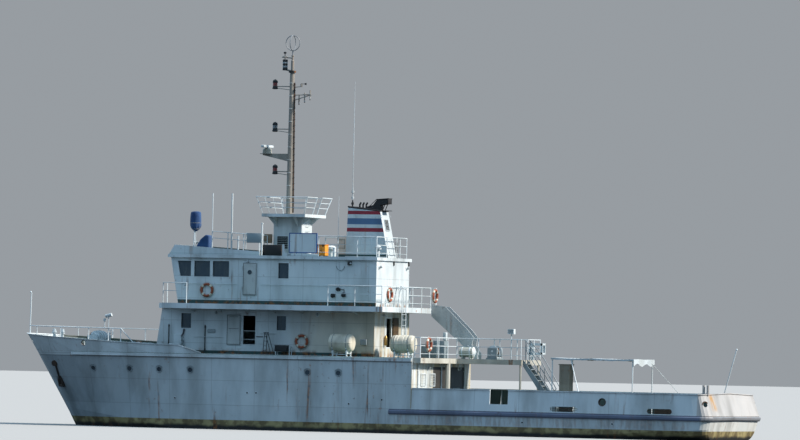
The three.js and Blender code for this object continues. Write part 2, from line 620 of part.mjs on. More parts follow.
const roofBody = prismZ([[roof.aft, -roof.half], [roof.fore, -roof.half], [roof.fore, roof.half],
  [roof.aft, roof.half]], upperHouse.top, roof.top);
add("roof_deck", roofBody, finish.white);

function parapetBody() {
  const low = roof.top + seat;
  const p = parapet;
  const profile = (inset, lift) => [[p.aft - inset * 20, low - lift], [p.foreLow - inset, low - lift],
    [p.foreHigh - inset, p.foreTop + lift], [p.aft - inset * 20, p.aftTop + lift]];
  return cut(prismY(profile(0, 0), -upperHouse.half, upperHouse.half),
    prismY(profile(p.wall, 60), -upperHouse.half + p.wall, upperHouse.half - p.wall));
}
const parapetWhole = parapetBody();
add("wheelhouse_parapet", parapetWhole, finish.white);

// Mast house, platform, mast, radar

const mastHouseBody = join(
  box(mastHouse.aft, mastHouse.fore, -mastHouse.half, mastHouse.half, roof.top + seat, mastHouse.top),
  box(mastPlatform.aft, mastPlatform.fore, -mastPlatform.half, mastPlatform.half,
    mastPlatform.top - mastPlatform.thick - 50, mastPlatform.top));
add("mast_house", mastHouseBody, finish.white);

const radar = { x: 6080, z: 14230, reach: 1300 };
function mastBody() {
  const foot = mastPlatform.top + seat;
  const x = mast.x;
  const pole = rod([x, 0, foot], [x, 0, mast.top], mast.footR, 12, mast.topR);
  const base = rod([x, 0, foot], [x, 0, foot + 40], 330, 12);
  const arm = prismY([[x, radar.z - 420], [radar.x + 220, radar.z - 80], [radar.x + 220, radar.z], [x, radar.z]],
    -60, 60);
  const table = box(radar.x - 260, radar.x + 300, -260, 260, radar.z - 30, radar.z);
  const lamps = mastLamps.map((lamp) => [[0, 26], [190, 18]].map(([drop, r]) =>
    rod([x, 0, lamp.z - drop], [x + lamp.reach, 0, lamp.z - drop * 0.4], r, 6)).concat(
    rod([x + lamp.reach, 0, lamp.z - 110], [x + lamp.reach, 0, lamp.z + lamp.tall], lamp.r, 10)));
  const { lantern } = mastHead;
  const head = [rod([x, 0, mastHead.collar - 10], [x, 0, mastHead.collar + 90], 190, 12),
    rod([x, 0, mastHead.collar], [x, 0, mastHead.dish], 60, 8),
    rod([x, 0, mastHead.collar + 60], [lantern.x, 0, mastHead.collar + 160], 45, 6),
    rod([lantern.x, 0, lantern.low], [lantern.x, 0, lantern.top], lantern.r, 10),
    rod([x - 20, 0, mastHead.dish - 40], [lantern.x + 30, 0, mastHead.dish], 30, 6),
    rod([lantern.x + 20, 0, mastHead.dish - 20], [lantern.x + 20, 0, mastHead.dish + 60], 170, 12, 120)];
  const arms = yard.roots.map((z) => rod([x, 0, z], [x - yard.reach, 0, yard.z], 28, 6));
  const drops = yard.insulators.map(([at, z]) => rod([at, 0, z - 90], [at, 0, z + 420], 32, 6));
  const vane = [rod([x, 0, 17650], [4250, 0, 17700], 20, 6), rod([4250, 0, 17680], [4250, 0, 17830], 60, 8)];
  return standingOn(join(pole, base, arm, table, lamps, head, arms, drops, vane), mastHouseBody);
}
add("mast", mastBody(), finish.white);

const radarFoot = radar.z + seat;
const radarGear = cut(join(rod([radar.x, 0, radarFoot], [radar.x, 0, radarFoot + 280], 200, 12, 150),
  rod([radar.x, 0, radarFoot + 270], [radar.x, 0, radarFoot + 360], 50, 24)));
add("radar_pedestal", radarGear, finish.cream);
const scanner = cut(join(box(-90, 90, -radar.reach / 2, radar.reach / 2, 300, 430),
  rod([0, 0, 286], [0, 0, 320], 110, 12)), rod([0, 0, 200], [0, 0, 364], bore(50, 24), 24));
add("radar_scanner", scanner, finish.white, [radar.x, 0, radarFoot]);

function loopAntenna() {
  const z = mastHead.dish + seat;
  const foot = rod([mast.x, 0, z], [mast.x, 0, z + 370], 35, 8);
  const centre = [mast.x, 0, z + 740];
  return join(foot, torus(centre, 390, 22, "x"), torus(centre, 390, 22, "y"));
}
add("loop_antenna", loopAntenna(), finish.grey);

// Funnel with its exhaust cowl

const funnelFoot = roof.top + seat;
const funnelOutline = (inset, lift) => [[funnel.aftLow + inset, funnelFoot - lift], [funnel.foreLow - inset, funnelFoot - lift],
  [funnel.foreHigh - inset, funnel.foreTop + lift], [funnel.aftHigh + inset, funnel.aftTop + lift]];
const funnelBody = cut(prismY(funnelOutline(0, 0), -funnel.half, funnel.half),
  prismY([[funnel.aftHigh + 60, 11000], [funnel.foreHigh - 60, 11000], [funnel.foreHigh - 60, 12000],
    [funnel.aftHigh + 60, 12000]], -funnel.half + 60, funnel.half - 60));
const whipBody = [rod([whip.x, whip.y, 10900], [whip.x, whip.y, 12500], 45, 8, 32),
  [12250, 11950, 11650].map((z) => rod([whip.x, whip.y, z], [whip.x, whip.y, z + 110], 75, 8)),
  rod([whip.x, whip.y, 12450], [whip.x, whip.y, whip.top], 22, 6, 9)];
const casingBody = box(funnel.foreLow - 300, funnelCasing.fore, -funnelCasing.half, funnelCasing.half,
  funnelFoot, funnelCasing.top);
add("funnel", join(funnelBody, casingBody, whipBody), finish.white);
const exhaust = prismY([[430, 11000 + seat], [430, 11560], [60, 11640], [-150, 11940], [-800, 11990], [-700, 11700],
  [-330, 11640], [-330, 11000 + seat]], -230, 230);
add("exhaust_cowl", exhaust, finish.black);

// Propeller, rudder

function blade(turn) {
  const shape = new THREE.Shape();
  shape.moveTo(-70, 0).bezierCurveTo(-330, 380, -260, 700, 0, propeller.r)
    .bezierCurveTo(280, 680, 250, 330, 70, 0);
  const made = new THREE.ExtrudeGeometry(shape, { depth: 36, bevelEnabled: false, curveSegments: 6 });
  made.translate(0, 0, -18).rotateY(THREE.MathUtils.degToRad(55)).rotateX(turn);
  return solid(made);
}
const propellerBody = join(
  rod([-propeller.hubLong / 2, 0, 0], [propeller.hubLong / 2, 0, 0], propeller.hub * 0.8, 12, propeller.hub),
  Array.from({ length: propeller.blades }, (_, i) => blade((i * 2 * Math.PI) / propeller.blades)));
add("propeller", propellerBody, finish.bronze, [propeller.x, 0, propeller.z]);

function rudderBody() {
  const r = rudder;
  const t = r.thick / 2;
  const plate = [[r.fore, 0], [r.fore * 0.5, t], [-r.aft * 0.3, t * 0.8], [-r.aft, 20], [-r.aft, -20],
    [-r.aft * 0.3, -t * 0.8], [r.fore * 0.5, -t]];
  return join(prismZ(plate, r.low, r.high), rod([0, 0, r.high - 20], [0, 0, r.stockTop], r.stock, 12),
    rod([0, 0, heel.high + slack], [0, 0, r.low + 10], r.stock, 12));
}
add("rudder", rudderBody(), finish.black, [rudder.x, 0, 0]);

// Doors

for (const spec of doors) {
  const [x, y] = hingePlace(spec);
  add(spec.name, doorLeaf(spec), finish.cream, [x, y, 0], spec.turn);
}

// Fore deck: windlass, hatch

const deckZ = hull.raisedDeck + seat;
function windlassFrame() {
  const { x, z, long } = windlass;
  const cheeks = [-1, 1].map((side) => box(x - 420, x + 420, side * 470, side * 560, deckZ, deckZ + z + 150));
  const bed = box(x - 600, x + 600, -640, 640, deckZ, deckZ + 90);
  const motor = box(x - 600, x - 420, -180, 180, deckZ, deckZ + 420);
  return cut(join(cheeks, bed, motor), rod([x, -900, deckZ + z], [x, 900, deckZ + z], bore(60, 24), 24));
}
add("windlass_frame", windlassFrame(), finish.white);
const windlassDrum = join(rod([0, -windlass.long / 2, 0], [0, windlass.long / 2, 0], 60, 24),
  rod([0, -450, 0], [0, 450, 0], 230, 14), [-300, 0, 300].map((y) => rod([0, y - 50, 0], [0, y + 50, 0], 390, 16)),
  [-1, 1].map((side) => [rod([0, side * 580, 0], [0, side * windlass.long / 2, 0], 170, 14),
    rod([0, side * (windlass.long / 2 - 50), 0], [0, side * windlass.long / 2, 0], 240, 14)]));
add("windlass_drum", windlassDrum, finish.white, [windlass.x, 0, deckZ + windlass.z]);

const hatchLid = { z: foreHatch.tall + 20, hinge: -(foreHatch.half + 75) };
function foreHatchCoaming() {
  const { x, half, tall, wall } = foreHatch;
  const outer = box(x - half, x + half, -half, half, deckZ, deckZ + tall);
  const lugs = [-300, 300].map((y) => [
    box(x + hatchLid.hinge - 25, x - half + 10, y - 60, y - 25, deckZ + tall - 80, deckZ + tall - 10),
    box(x + hatchLid.hinge - 25, x + hatchLid.hinge + 25, y - 60, y - 25, deckZ + tall - 80, deckZ + tall + 45),
    rod([x + hatchLid.hinge, y - 40, deckZ + hatchLid.z], [x + hatchLid.hinge, y + 30, deckZ + hatchLid.z], 12, 10)]);
  return join(cut(outer, box(x - half + wall, x + half - wall, -half + wall, half - wall, deckZ - 50, deckZ + tall + 50)), lugs);
}
add("fore_hatch_coaming", foreHatchCoaming(), finish.white);
const lidBody = cut(join(
  box(45, 75 + 2 * foreHatch.half + foreHatch.overhang, -foreHatch.half - 40, foreHatch.half + 40, 0, foreHatch.lid),
  [-300, 300].map((y) => [rod([0, y - 20, 0], [0, y + 25, 0], 25, 10), box(0, 60, y - 20, y + 25, 0, 25)])),
  [-300, 300].map((y) => rod([0, y - 60, 0], [0, y + 60, 0], bore(12, 10), 10)));
add("fore_hatch_lid", lidBody, finish.white, [foreHatch.x + hatchLid.hinge, 0, deckZ + hatchLid.z]);

// Starboard working platform over the after deck, on its posts, with a winch

function edgedDeck(x0, x1, y0, y1, top, plate, fascia, edge = 50) {
  return cut(box(x0, x1, y0, y1, top - fascia, top), box(x0 + edge, x1 - edge, y0 + edge, y1 - edge, top - fascia - 50, top - plate));
}
const platformTop = hull.raisedDeck;
const seatAft = hull.raisedEnd - seat;
function workPlatform() {
  const floor = hull.mainDeck + seat;
  const deck = edgedDeck(platform.aft, seatAft, platform.starboard, platform.port, platformTop, platform.plate, platform.fascia);
  const ledge = edgedDeck(platform.edgeAft, seatAft, platform.port - 60, platform.half, platformTop, platform.plate, platform.fascia);
  const posts = [
    { x: platform.aft + 80, y: platform.port - 80, r: 60 }, { x: platform.aft + 80, y: platform.starboard + 200, r: 60 },
    { x: platform.edgeAft + 90, y: 0, r: 140 },
  ].map((p) => rod([p.x, p.y, floor], [p.x, p.y, platformTop - 30], p.r, 8));
  const vessels = [rod([tank.x, tank.y, tank.z], [tank.end, tank.y, tank.z], tank.r, 14),
    [tank.x - 150, tank.end + 150].map((x) => box(x - 40, x + 40, tank.y - 200, tank.y + 200, platformTop - 20, tank.z))];
  return join(deck, ledge, posts, vessels);
}
const workPlatformBody = workPlatform();
add("work_platform", workPlatformBody, finish.deck);

const winchDeck = platformTop + seat;
function winchFrame() {
  const { x, y, z } = winch;
  const cheeks = [-1, 1].map((side) => box(x - 260, x + 260, y + side * 330, y + side * 400, winchDeck, winchDeck + z + 160));
  return cut(join(cheeks, box(x - 300, x + 300, y - 480, y + 480, winchDeck, winchDeck + 80)),
    rod([x, y - 900, winchDeck + z], [x, y + 900, winchDeck + z], bore(50, 24), 24));
}
add("winch_frame", winchFrame(), finish.grey);
const winchDrum = join(rod([0, -420, 0], [0, 420, 0], 50, 24), rod([0, -310, 0], [0, 310, 0], 170, 14),
  [-1, 1].map((side) => rod([0, side * 270, 0], [0, side * 310, 0], 290, 16)));
add("winch_drum", winchDrum, finish.white, [winch.x, winch.y, winchDeck + winch.z]);

// Stairs: the upper one with plated sides and a slot in each, the after one with handrails

const stepped = (from, to, treads, y, half) => Array.from({ length: treads }, (_, i) => {
  const share = (i + 0.5) / treads;
  const x = from[0] + (to[0] - from[0]) * share;
  const z = from[1] + (to[1] - from[1]) * share;
  return box(x - 95, x + 95, y - half + 15, y + half - 15, z - 18, z + 18);
});

function upperStair() {
  const { y, wide, plate, treads, tread, side, slot } = bridgeStair;
  const half = wide / 2;
  const outline = side.map(([x, z]) => [x === bridgeDeck.aft ? x - seat : x, z === platformTop ? z + seat : z]);
  const plates = [-1, 1].map((way) => {
    const faces = [y + way * (half - plate), y + way * half].sort((a, b) => a - b);
    return cut(prismY(outline, ...faces), prismY(slot, faces[0] - 50, faces[1] + 50));
  });
  return join(plates, stepped(tread[0], tread[1], treads, y, half));
}

function afterStair() {
  const { y, wide, foreX, top, aftX, foot, treads, handrail, middle, stanchions } = aftStair;
  const half = wide / 2;
  const outline = [[aftX, foot + seat], [aftX + 240, foot + seat], [foreX - seat, top - 330], [foreX - seat, top],
    [aftX, foot + 240]];
  const one = (way) => {
    const out = y + way * (half - 20);
    const along = (line) => line.slice(1).map((p, i) =>
      rod([line[i][0], out, line[i][1]], [p[0], out, p[1]], 24, 6));
    const posts = stanchions.map((share) => {
      const x = foreX + (aftX - foreX) * share;
      const stringer = top + (foot - top) * share;
      return rod([x, out, stringer - 60], [x, out, stringer + 940], 20, 6);
    });
    const ends = [[handrail[0], middle[0]], [handrail[2], middle[1]]].map(([a, b]) =>
      rod([a[0], out, a[1]], [b[0], out, b[1]], 23, 6));
    return [prismY(outline, way > 0 ? out - 20 : out - 20, out + 20), along(handrail), along(middle), posts, ends];
  };
  return join([-1, 1].map(one), stepped([aftX + 130, foot + 60], [foreX - 60, top - 60], treads, y, half));
}
add("stair_upper", upperStair(), finish.grey);
add("stair_aft", afterStair(), finish.grey);

// Liferafts, signboard, locker

function raftBody(x, y, z) {
  const centre = z + raft.cradle + raft.r - 40;
  const can = rod([x - raft.long / 2, y, centre], [x + raft.long / 2, y, centre], raft.r, 16);
  const cradle = [-1, 1].map((side) => box(x + side * 380 - 40, x + side * 380 + 40, y - 330, y + 330, z, z + raft.cradle + 120));
  return join(can, cradle);
}
add("raft_port", raftBody(355, 3420, deckZ), finish.cream);
add("raft_aft", raftBody(-2440, 1950, deckZ), finish.cream);
add("name_board", join(box(2300, 3810, 2250, 2290, 9110, 10110),
  [2500, 3600].map((x) => box(x - 30, x + 30, 2200, 2270, roof.top + seat, 9900))), finish.white);
add("roof_locker", box(1880, 2440, 1650, 2150, roof.top + seat, 9580), finish.orange);

// Awning over the after deck, trunk

function awningCloth() {
  const { fore, aft, half, z, sag, thick } = awning;
  const outline = [[fore, z], [aft, z], [aft, z + thick], [fore, z + thick]];
  return prismY(outline, -half, half);
}
function awningFrame() {
  const { fore, aft, half, z, post } = awning;
  const floor = hull.mainDeck + seat;
  const under = z - seat;
  const corners = [[fore - 60, half - 60], [aft + 60, half - 60], [fore - 60, 60 - half], [aft + 60, 60 - half]];
  const legs = corners.map(([x, y]) => rod([x, y, floor], [x, y, under], post, 6));
  const side = (y) => rod([fore, y, under - post], [aft, y, under - post], post, 6);
  const across = (x) => rod([x, -half, under - post], [x, half, under - post], post, 6);
  const { head, foot } = awningProp;
  const prop = rod([head[0], head[1] - 60, under - 2 * post], [foot[0], foot[1], floor + 30], 26, 6);
  return join(legs, side(half - 60), side(60 - half), across(fore - 60), across((fore + aft) / 2), across(aft + 60),
    cut(prop, box(-20000, 0, -5000, 5000, 0, floor)));
}
add("awning_frame", awningFrame(), finish.white);
add("awning_cloth", awningCloth(), finish.canvas);
add("after_trunk", box(trunk.x - trunk.half, trunk.x + trunk.half, trunk.y - trunk.half, trunk.y + trunk.half,
  hull.mainDeck + seat, trunk.top), finish.buff);
// Rails, ladder and ring buoys

const ring = { r: 300, tube: 62 };
const topBar = [[-1, 0], [-0.5, -0.87], [0.5, -0.87], [1, 0], [0.5, 0.87], [-0.5, 0.87]];
const midBar = [[-0.6, -0.6], [0.6, -0.6], [0.6, 0.6], [-0.6, 0.6]];
const bar = (path, section) => sweep(path, () => section.map(([u, v]) => [u * rails.tube, v * rails.tube]));

// A handrail over a path of corners, with posts at the corners and between them.
function rail(corners, { tall = rails.tall, mids = [0.6], out = 0, feet = 0, pitch = 1500 } = {}) {
  const place = ([x, y, z, leanX = 0, leanY = 0], share) => [
    x + leanX * out * share, y + leanY * out * share, z + tall * share];
  const posts = posted(corners, pitch).map((p) => rod(place(p, -feet / tall), place(p, 1), rails.post, 4));
  const bars = [...mids, 1].map((share) => bar(corners.map((p) => place(p, share)), share === 1 ? topBar : midBar));
  return join(posts, bars);
}

// Adds posts between the corners of a path, no further apart than the pitch.
function posted(corners, pitch) {
  const path = [];
  corners.slice(1).forEach((b, i) => {
    const a = corners[i];
    const count = Math.ceil(Math.hypot(b[0] - a[0], b[1] - a[1], b[2] - a[2]) / pitch);
    for (let k = 0; k < count; k++) path.push(a.map((v, d) => v + ((b[d] - v) * k) / count));
  });
  return [...path, corners.at(-1)];
}

const bowRailLevel = { aft: 5030, fore: 5120, start: 10500 };
const bowPosts = [17650, 16000, 14280, 13110, 11850, 10600];
const bowLamp = { x: 13110, up: 640, r: 90, long: 330, beside: 230, knob: 70, knobUp: 420 };
function bowRail() {
  const inside = bowFrames.filter((f) => f.x > bowRailLevel.start && f.x < 16200);
  const cap = (f) => {
    const top = hull.raisedDeck + seat + bowHeight(f.x);
    const [x, y] = upperPoint(f, top);
    return [x - 40 * lean(f.x), y - 45, top - 12];
  };
  const port = inside.map(cap);
  const stem = cap(bowFrames.at(-1));
  const path = [...port, [stem[0] - 40, 0, stem[2]], ...mirrored(port).reverse()];
  const topZ = (x) => bowRailLevel.aft + (bowRailLevel.fore - bowRailLevel.aft) * ((x - 10800) / 8350);
  const onCap = (x) => {
    const i = port.findIndex((_, k) => port[k + 1] && port[k][0] <= x && port[k + 1][0] >= x);
    const [a, b] = i < 0 ? [port.at(-1), path[port.length]] : [port[i], port[i + 1]];
    const share = (x - a[0]) / (b[0] - a[0]);
    return a.map((v, k) => v + (b[k] - v) * share);
  };
  const feet = bowPosts.filter((x) => x > port[0][0]).map(onCap);
  const posts = [port[0], ...feet, path[port.length], ...mirrored([port[0], ...feet])].map(([x, y, z]) =>
    rod([x, y, z], [x, y, topZ(x)], rails.post, 4));
  const bars = bar(path.map(([x, y]) => [x, y, topZ(x)]), topBar);
  const ends = [path[0], path.at(-1)].map(([x, y, z]) =>
    rod([x, y, topZ(x)], [x - 700, y + (y > 0 ? 45 : -45), z - 10], rails.tube, 6));
  const jackstaff = rod([stem[0] - 20, 0, 4722], [stem[0] - 60, 0, 6870], 30, 8);
  const { x: lampX, up, r, long, beside, knob, knobUp } = bowLamp;
  const [, lampY] = onCap(lampX);
  const lampZ = topZ(lampX) + up;
  const [, knobY] = onCap(lampX + beside);
  const knobZ = topZ(lampX + beside) + knobUp;
  const lamp = [rod([lampX, lampY, topZ(lampX) - 10], [lampX, lampY, lampZ], 24, 6),
    rod([lampX - long / 2, lampY, lampZ + 60], [lampX + long / 2, lampY, lampZ - 30], r, 10),
    rod([lampX + beside, knobY, topZ(lampX) - 10], [lampX + beside, knobY, knobZ], 24, 6),
    rod([lampX + beside, knobY, knobZ - knob], [lampX + beside, knobY, knobZ + knob], knob, 10)];
  return standingOn(join(posts, bars, ends, jackstaff, lamp), bowBulwarkWhole);
}
add("bow_rail", bowRail(), finish.white);

const edgeIn = 50;
const topB = bridgeDeck.top + seat;
const yb = bridgeDeck.half - edgeIn;
const xb = bridgeDeck.aft + edgeIn;
const aftRing = (x, y, z) => torus([x, y, z], ring.r, ring.tube, "x");
add("rail_bridge_port", join(rail([[1000, yb, topB], [xb, yb, topB], [xb, ladder.y + ladder.gap, topB]]),
  aftRing(xb - 66, 2900, 7030)), finish.white);
add("rail_bridge_aft", rail([[xb, ladder.y - ladder.gap, topB], [xb, bridgeStair.y + 370, topB]]), finish.white);
add("rail_bridge_starboard", rail([[1000, -yb, topB], [xb, -yb, topB], [xb, bridgeStair.y - 370, topB]]), finish.white);
for (const [name, side] of [["rail_bridge_fore_port", 1], ["rail_bridge_fore_starboard", -1]]) {
  const x = bridgeDeck.fore - edgeIn;
  add(name, rail([[x - 1300, side * yb, topB], [x, side * yb, topB], [x, side * 3300, topB]]), finish.white);
}

const topR = roof.top + seat;
const yr = roof.half - edgeIn;
const xr = roof.aft + edgeIn;
const roofCorner = { y: -1800, x: -450 }; // where the rail cuts the starboard after corner
add("rail_roof", rail([[2150, yr, topR], [xr, yr, topR], [xr, roofCorner.y, topR], [roofCorner.x, -yr, topR],
  [3700, -yr, topR]], { pitch: 1400 }), finish.white);
// Wheelhouse top: a rail along each side with an aft return, and to port two poles on it
const topRail = { fore: 8100, aft: 5480, inboard: 1200, tall: 850, poles: [[8100, 26], [7020, 48]], poleTop: 12100 };
function wheelhouseTopRail(side) {
  const { fore, aft, inboard, tall, poles, poleTop } = topRail;
  const slope = (parapet.foreTop - parapet.aftTop) / (parapet.foreHigh - parapet.aft);
  const topAt = (x) => parapet.aftTop + (x - parapet.aft) * slope - 6;
  const y = side * (upperHouse.half - parapet.wall / 2);
  const path = [[fore, y, topAt(fore)], [aft, y, topAt(aft)], [aft, side * inboard, topAt(aft)]];
  const onPort = side > 0 ? poles.map(([x, r]) => rod([x, y, topAt(x)], [x, y, poleTop], r, 8)) : [];
  const foot = rod([aft, side * inboard, roof.top + seat], [aft, side * inboard, topAt(aft) + 60], rails.post, 4);
  return standingOn(join(rail(path, { tall, pitch: 1200 }), foot, onPort), parapetWhole);
}
add("rail_wheelhouse_port", wheelhouseTopRail(1), finish.white);
add("rail_wheelhouse_starboard", wheelhouseTopRail(-1), finish.white);

// A covered searchlight on two poles, and a covered compass behind it, on one bed
function topGearBody() {
  const { x, lampR, lampLow, lampTop, apart, compass } = topGear;
  const z = roof.top + seat;
  const lamp = [rod([x, 0, lampLow + 240], [x, 0, lampTop], lampR, 12, lampR * 0.9),
    rod([x - 60, 0, lampLow], [x, 0, lampLow + 260], 50, 12, lampR)];
  const poles = [-apart, apart].map((y) => rod([x + 40, y, z + 30], [x + 20, y, lampLow + 300], 28, 6));
  return join(lamp, poles, prismY(compass.map(([at, up]) => [at, up ?? z]), -290, 290), box(9300, x + 90, -200, 200, z, z + 60));
}
add("compass_and_lamp", topGearBody(), finish.blue);

function mastRail() {
  const { fore, aft, half, top } = mastPlatform;
  const z = top + seat + 12;
  const corners = [[aft + 40, 320, z, -1, 0], [aft + 40, half - 40, z, -1, 1], [fore - 40, half - 40, z, 1, 1],
    [fore - 40, 40 - half, z, 1, -1], [aft + 40, 40 - half, z, -1, -1], [aft + 40, -320, z, -1, 0]];
  const below = box(aft - 900, fore + 900, -3000, 3000, top - 500, top + seat);
  return cut(rail(corners, { tall: 850, out: 260, feet: 20, mids: [0.376, 0.682], pitch: 1300 }), below);
}
add("rail_mast_platform", mastRail(), finish.white);

const topP = platformTop + seat;
const xl = platform.edgeAft + edgeIn;
add("rail_raised_deck", join(rail([[-3880, platform.half - edgeIn, topP], [xl, platform.half - edgeIn, topP],
  [xl, platform.port - edgeIn, topP], [platform.aft + edgeIn, platform.port - edgeIn, topP]]),
  aftRing(xl - 66, 3000, 4540)), finish.white);
const flood = { x: -6100, y: platform.starboard + edgeIn, z: 5200 };
add("rail_platform", join(rail([[platform.aft + edgeIn, aftStair.y - 420, topP],
  [platform.aft + edgeIn, flood.y, topP], [-3900, flood.y, topP]]),
  rod([flood.x, flood.y, topP + 40], [flood.x, flood.y, flood.z], 26, 6),
  box(flood.x - 170, flood.x + 170, flood.y - 120, flood.y + 120, flood.z - 20, flood.z + 240)), finish.white);

// Ring buoys hung on the port walls
const wallRings = [
  { name: "life_ring_lower", x: 2930, z: 4570, wall: lowerHouse.half },
  { name: "life_ring_upper", x: 8300, z: 7120, wall: upperHouse.half },
];
for (const { name, x, z, wall } of wallRings) {
  add(name, torus([x, wall + ring.tube + seat, z], ring.r, ring.tube, "y", 8, 20), finish.orange);
}
add("anchor_port", anchorBody(1), finish.black);
add("anchor_starboard", anchorBody(-1), finish.black);

function ladderBody() {
  const { y, x, wide, rungs } = ladder;
  const half = wide / 2;
  const low = hull.raisedDeck + seat;
  const high = bridgeDeck.top + 900;
  const sides = [-1, 1].map((side) => [rod([x, y + side * half, low], [x, y + side * half, high], 24, 6),
    rod([x, y + side * half, high - 10], [x + 300, y + side * half, high + 180], 24, 6),
    rod([x + 300, y + side * half, high + 180], [x + 480, y + side * half, bridgeDeck.top + seat], 24, 6)]);
  const steps = Array.from({ length: rungs }, (_, i) => {
    const z = low + 260 + i * 275;
    return rod([x, y - half, z], [x, y + half, z], 14, 4);
  });
  return standingOn(join(sides, steps), bridgeDeckWhole);
}
add("ladder", ladderBody(), finish.white);
const flagstaff = { foot: [-18757, 0, 1200], head: [-19700, 0, 4610], r: 30 };
add("flagstaff", standingOn(rod(flagstaff.foot, flagstaff.head, flagstaff.r, 8), hullBody), finish.white);

export default vessel;
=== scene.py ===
from math import atan2, copysign, cos, hypot, pi, radians, sin

import bmesh
import bpy
from mathutils import Matrix, Vector


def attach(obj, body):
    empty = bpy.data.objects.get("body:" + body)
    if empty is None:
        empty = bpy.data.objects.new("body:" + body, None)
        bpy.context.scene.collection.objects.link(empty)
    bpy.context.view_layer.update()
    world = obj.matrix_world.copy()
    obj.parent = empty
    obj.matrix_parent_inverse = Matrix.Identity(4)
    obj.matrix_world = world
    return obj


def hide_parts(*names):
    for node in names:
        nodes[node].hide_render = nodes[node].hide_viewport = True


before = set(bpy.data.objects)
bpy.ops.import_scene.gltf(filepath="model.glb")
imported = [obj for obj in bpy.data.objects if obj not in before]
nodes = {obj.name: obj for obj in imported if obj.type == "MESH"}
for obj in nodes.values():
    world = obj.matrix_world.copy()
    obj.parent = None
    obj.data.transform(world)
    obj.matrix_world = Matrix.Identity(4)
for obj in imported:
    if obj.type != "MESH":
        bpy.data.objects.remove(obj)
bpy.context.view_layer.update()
scene = bpy.context.scene
print("frame loaded,", len(nodes), "nodes")

# Short names for adding shader nodes to the tree in hand.

shade = {"tree": None, "place": None}


def give(node, feeds):
    for key, value in feeds.items():
        if isinstance(value, bpy.types.NodeSocket):
            shade["tree"].links.new(value, node.inputs[key])
        else:
            node.inputs[key].default_value = value


def put(kind, feeds=None, **settings):
    made = shade["tree"].nodes.new("ShaderNode" + kind)
    for key, value in settings.items():
        setattr(made, key, value)
    give(made, feeds or {})
    return made.outputs


def calc(operation, a, b=0.0):
    return put("Math", {0: a, 1: b}, operation=operation)[0]


def times(first, *others):
    for other in others:
        first = calc("MULTIPLY", first, other)
    return first


def plus(a, b):
    return calc("ADD", a, b)


def most(a, b):
    return calc("MAXIMUM", a, b)


def rising(value, low, high, toLow=0.0, toHigh=1.0):
    feeds = {0: value, 1: low, 2: high, 3: toLow, 4: toHigh}
    return put("MapRange", feeds, interpolation_type="SMOOTHSTEP")[0]


def falling(value, low, high):
    return rising(value, low, high, 1.0, 0.0)


def between(value, low, high, soft=0.01):
    return times(rising(value, low - soft, low + soft), falling(value, high - soft, high + soft))


def blended(factor, a, b, way="MIX"):
    def wide(c):
        return (*c, 1) if isinstance(c, tuple) and len(c) == 3 else c
    feeds = {0: factor, 6: wide(a), 7: wide(b)}
    return put("Mix", feeds, data_type="RGBA", blend_type=way, clamp_factor=True)[2]


def noise(scale, detail=3.0, rough=0.55, stretch=None, shift=(0, 0, 0)):
    where = shade["place"]
    if stretch:
        where = put("Mapping", {"Vector": where, "Location": shift, "Scale": stretch})[0]
    return put("TexNoise", {"Vector": where, "Scale": scale, "Detail": detail, "Roughness": rough})[0]


def bumped(height, strength, distance):
    return put("Bump", {"Strength": strength, "Distance": distance, "Height": height})[0]


def shown(name, data):
    made = bpy.data.objects.new(name, data)
    scene.collection.objects.link(made)
    return made


# The camera of the photograph, the light and the floor.

view = {"from": (-146.6, 372.2, 4.0), "at": (-1.35, 0.0, 10.9), "lens": 351.0, "roll": 1.2, "reach": 3000}
light = {"sunFrom": (-1.0, -0.14, 0.8), "sunPower": 5.6, "sunSize": 8.0, "sunTint": (1.0, 0.95, 0.87),
         "low": (0.22, 0.38, 0.54), "high": (0.44, 0.67, 0.92), "backdrop": (0.31, 0.335, 0.36)}
ground = {"radius": 900, "seen": (0.44, 0.42, 0.40), "bounce": (0.05, 0.055, 0.06), "rough": 0.9}


def makeCamera():
    data = bpy.data.cameras.new("photoCamera")
    data.lens = view["lens"]
    data.sensor_width = 36
    data.sensor_fit = "HORIZONTAL"
    data.clip_end = view["reach"]
    camera = shown("photoCamera", data)
    ahead = (Vector(view["at"]) - Vector(view["from"])).normalized()
    turn = ahead.to_track_quat("-Z", "Y").to_matrix().to_4x4()
    roll = Matrix.Rotation(radians(view["roll"]), 4, "Z")
    camera.matrix_world = Matrix.Translation(view["from"]) @ turn @ roll
    scene.camera = camera


def makeLight():
    data = bpy.data.lights.new("lowSun", "SUN")
    data.energy = light["sunPower"]
    data.angle = radians(light["sunSize"])
    data.color = light["sunTint"]
    sun = shown("lowSun", data)
    sun.rotation_euler = Vector(light["sunFrom"]).to_track_quat("Z", "Y").to_euler()
    scene.world = bpy.data.worlds.new("studio")
    scene.world.use_nodes = True
    shade["tree"] = scene.world.node_tree
    shade["tree"].nodes.clear()
    up = put("SeparateXYZ", {0: put("TexCoord")["Generated"]})[2]
    sky = blended(rising(up, 0.0, 0.6), light["low"], light["high"])
    color = blended(put("LightPath")["Is Camera Ray"], sky, light["backdrop"])
    put("OutputWorld", {"Surface": put("Background", {"Color": color, "Strength": 1.0})[0]})
    scene.view_settings.view_transform = "Standard"


def makeFloor():
    bm = bmesh.new()
    bmesh.ops.create_circle(bm, cap_ends=True, segments=96, radius=ground["radius"])
    mesh = bpy.data.meshes.new("floor")
    bm.to_mesh(mesh)
    bm.free()
    floor = shown("floor", mesh)
    plain = bpy.data.materials.new("paleFloor")
    plain.use_nodes = True
    shade["tree"] = plain.node_tree
    color = blended(put("LightPath")["Is Camera Ray"], ground["bounce"], ground["seen"])
    shader = shade["tree"].nodes["Principled BSDF"]
    give(shader, {"Base Color": color, "Roughness": ground["rough"], "Specular IOR Level": 0.0})
    mesh.materials.append(plain)


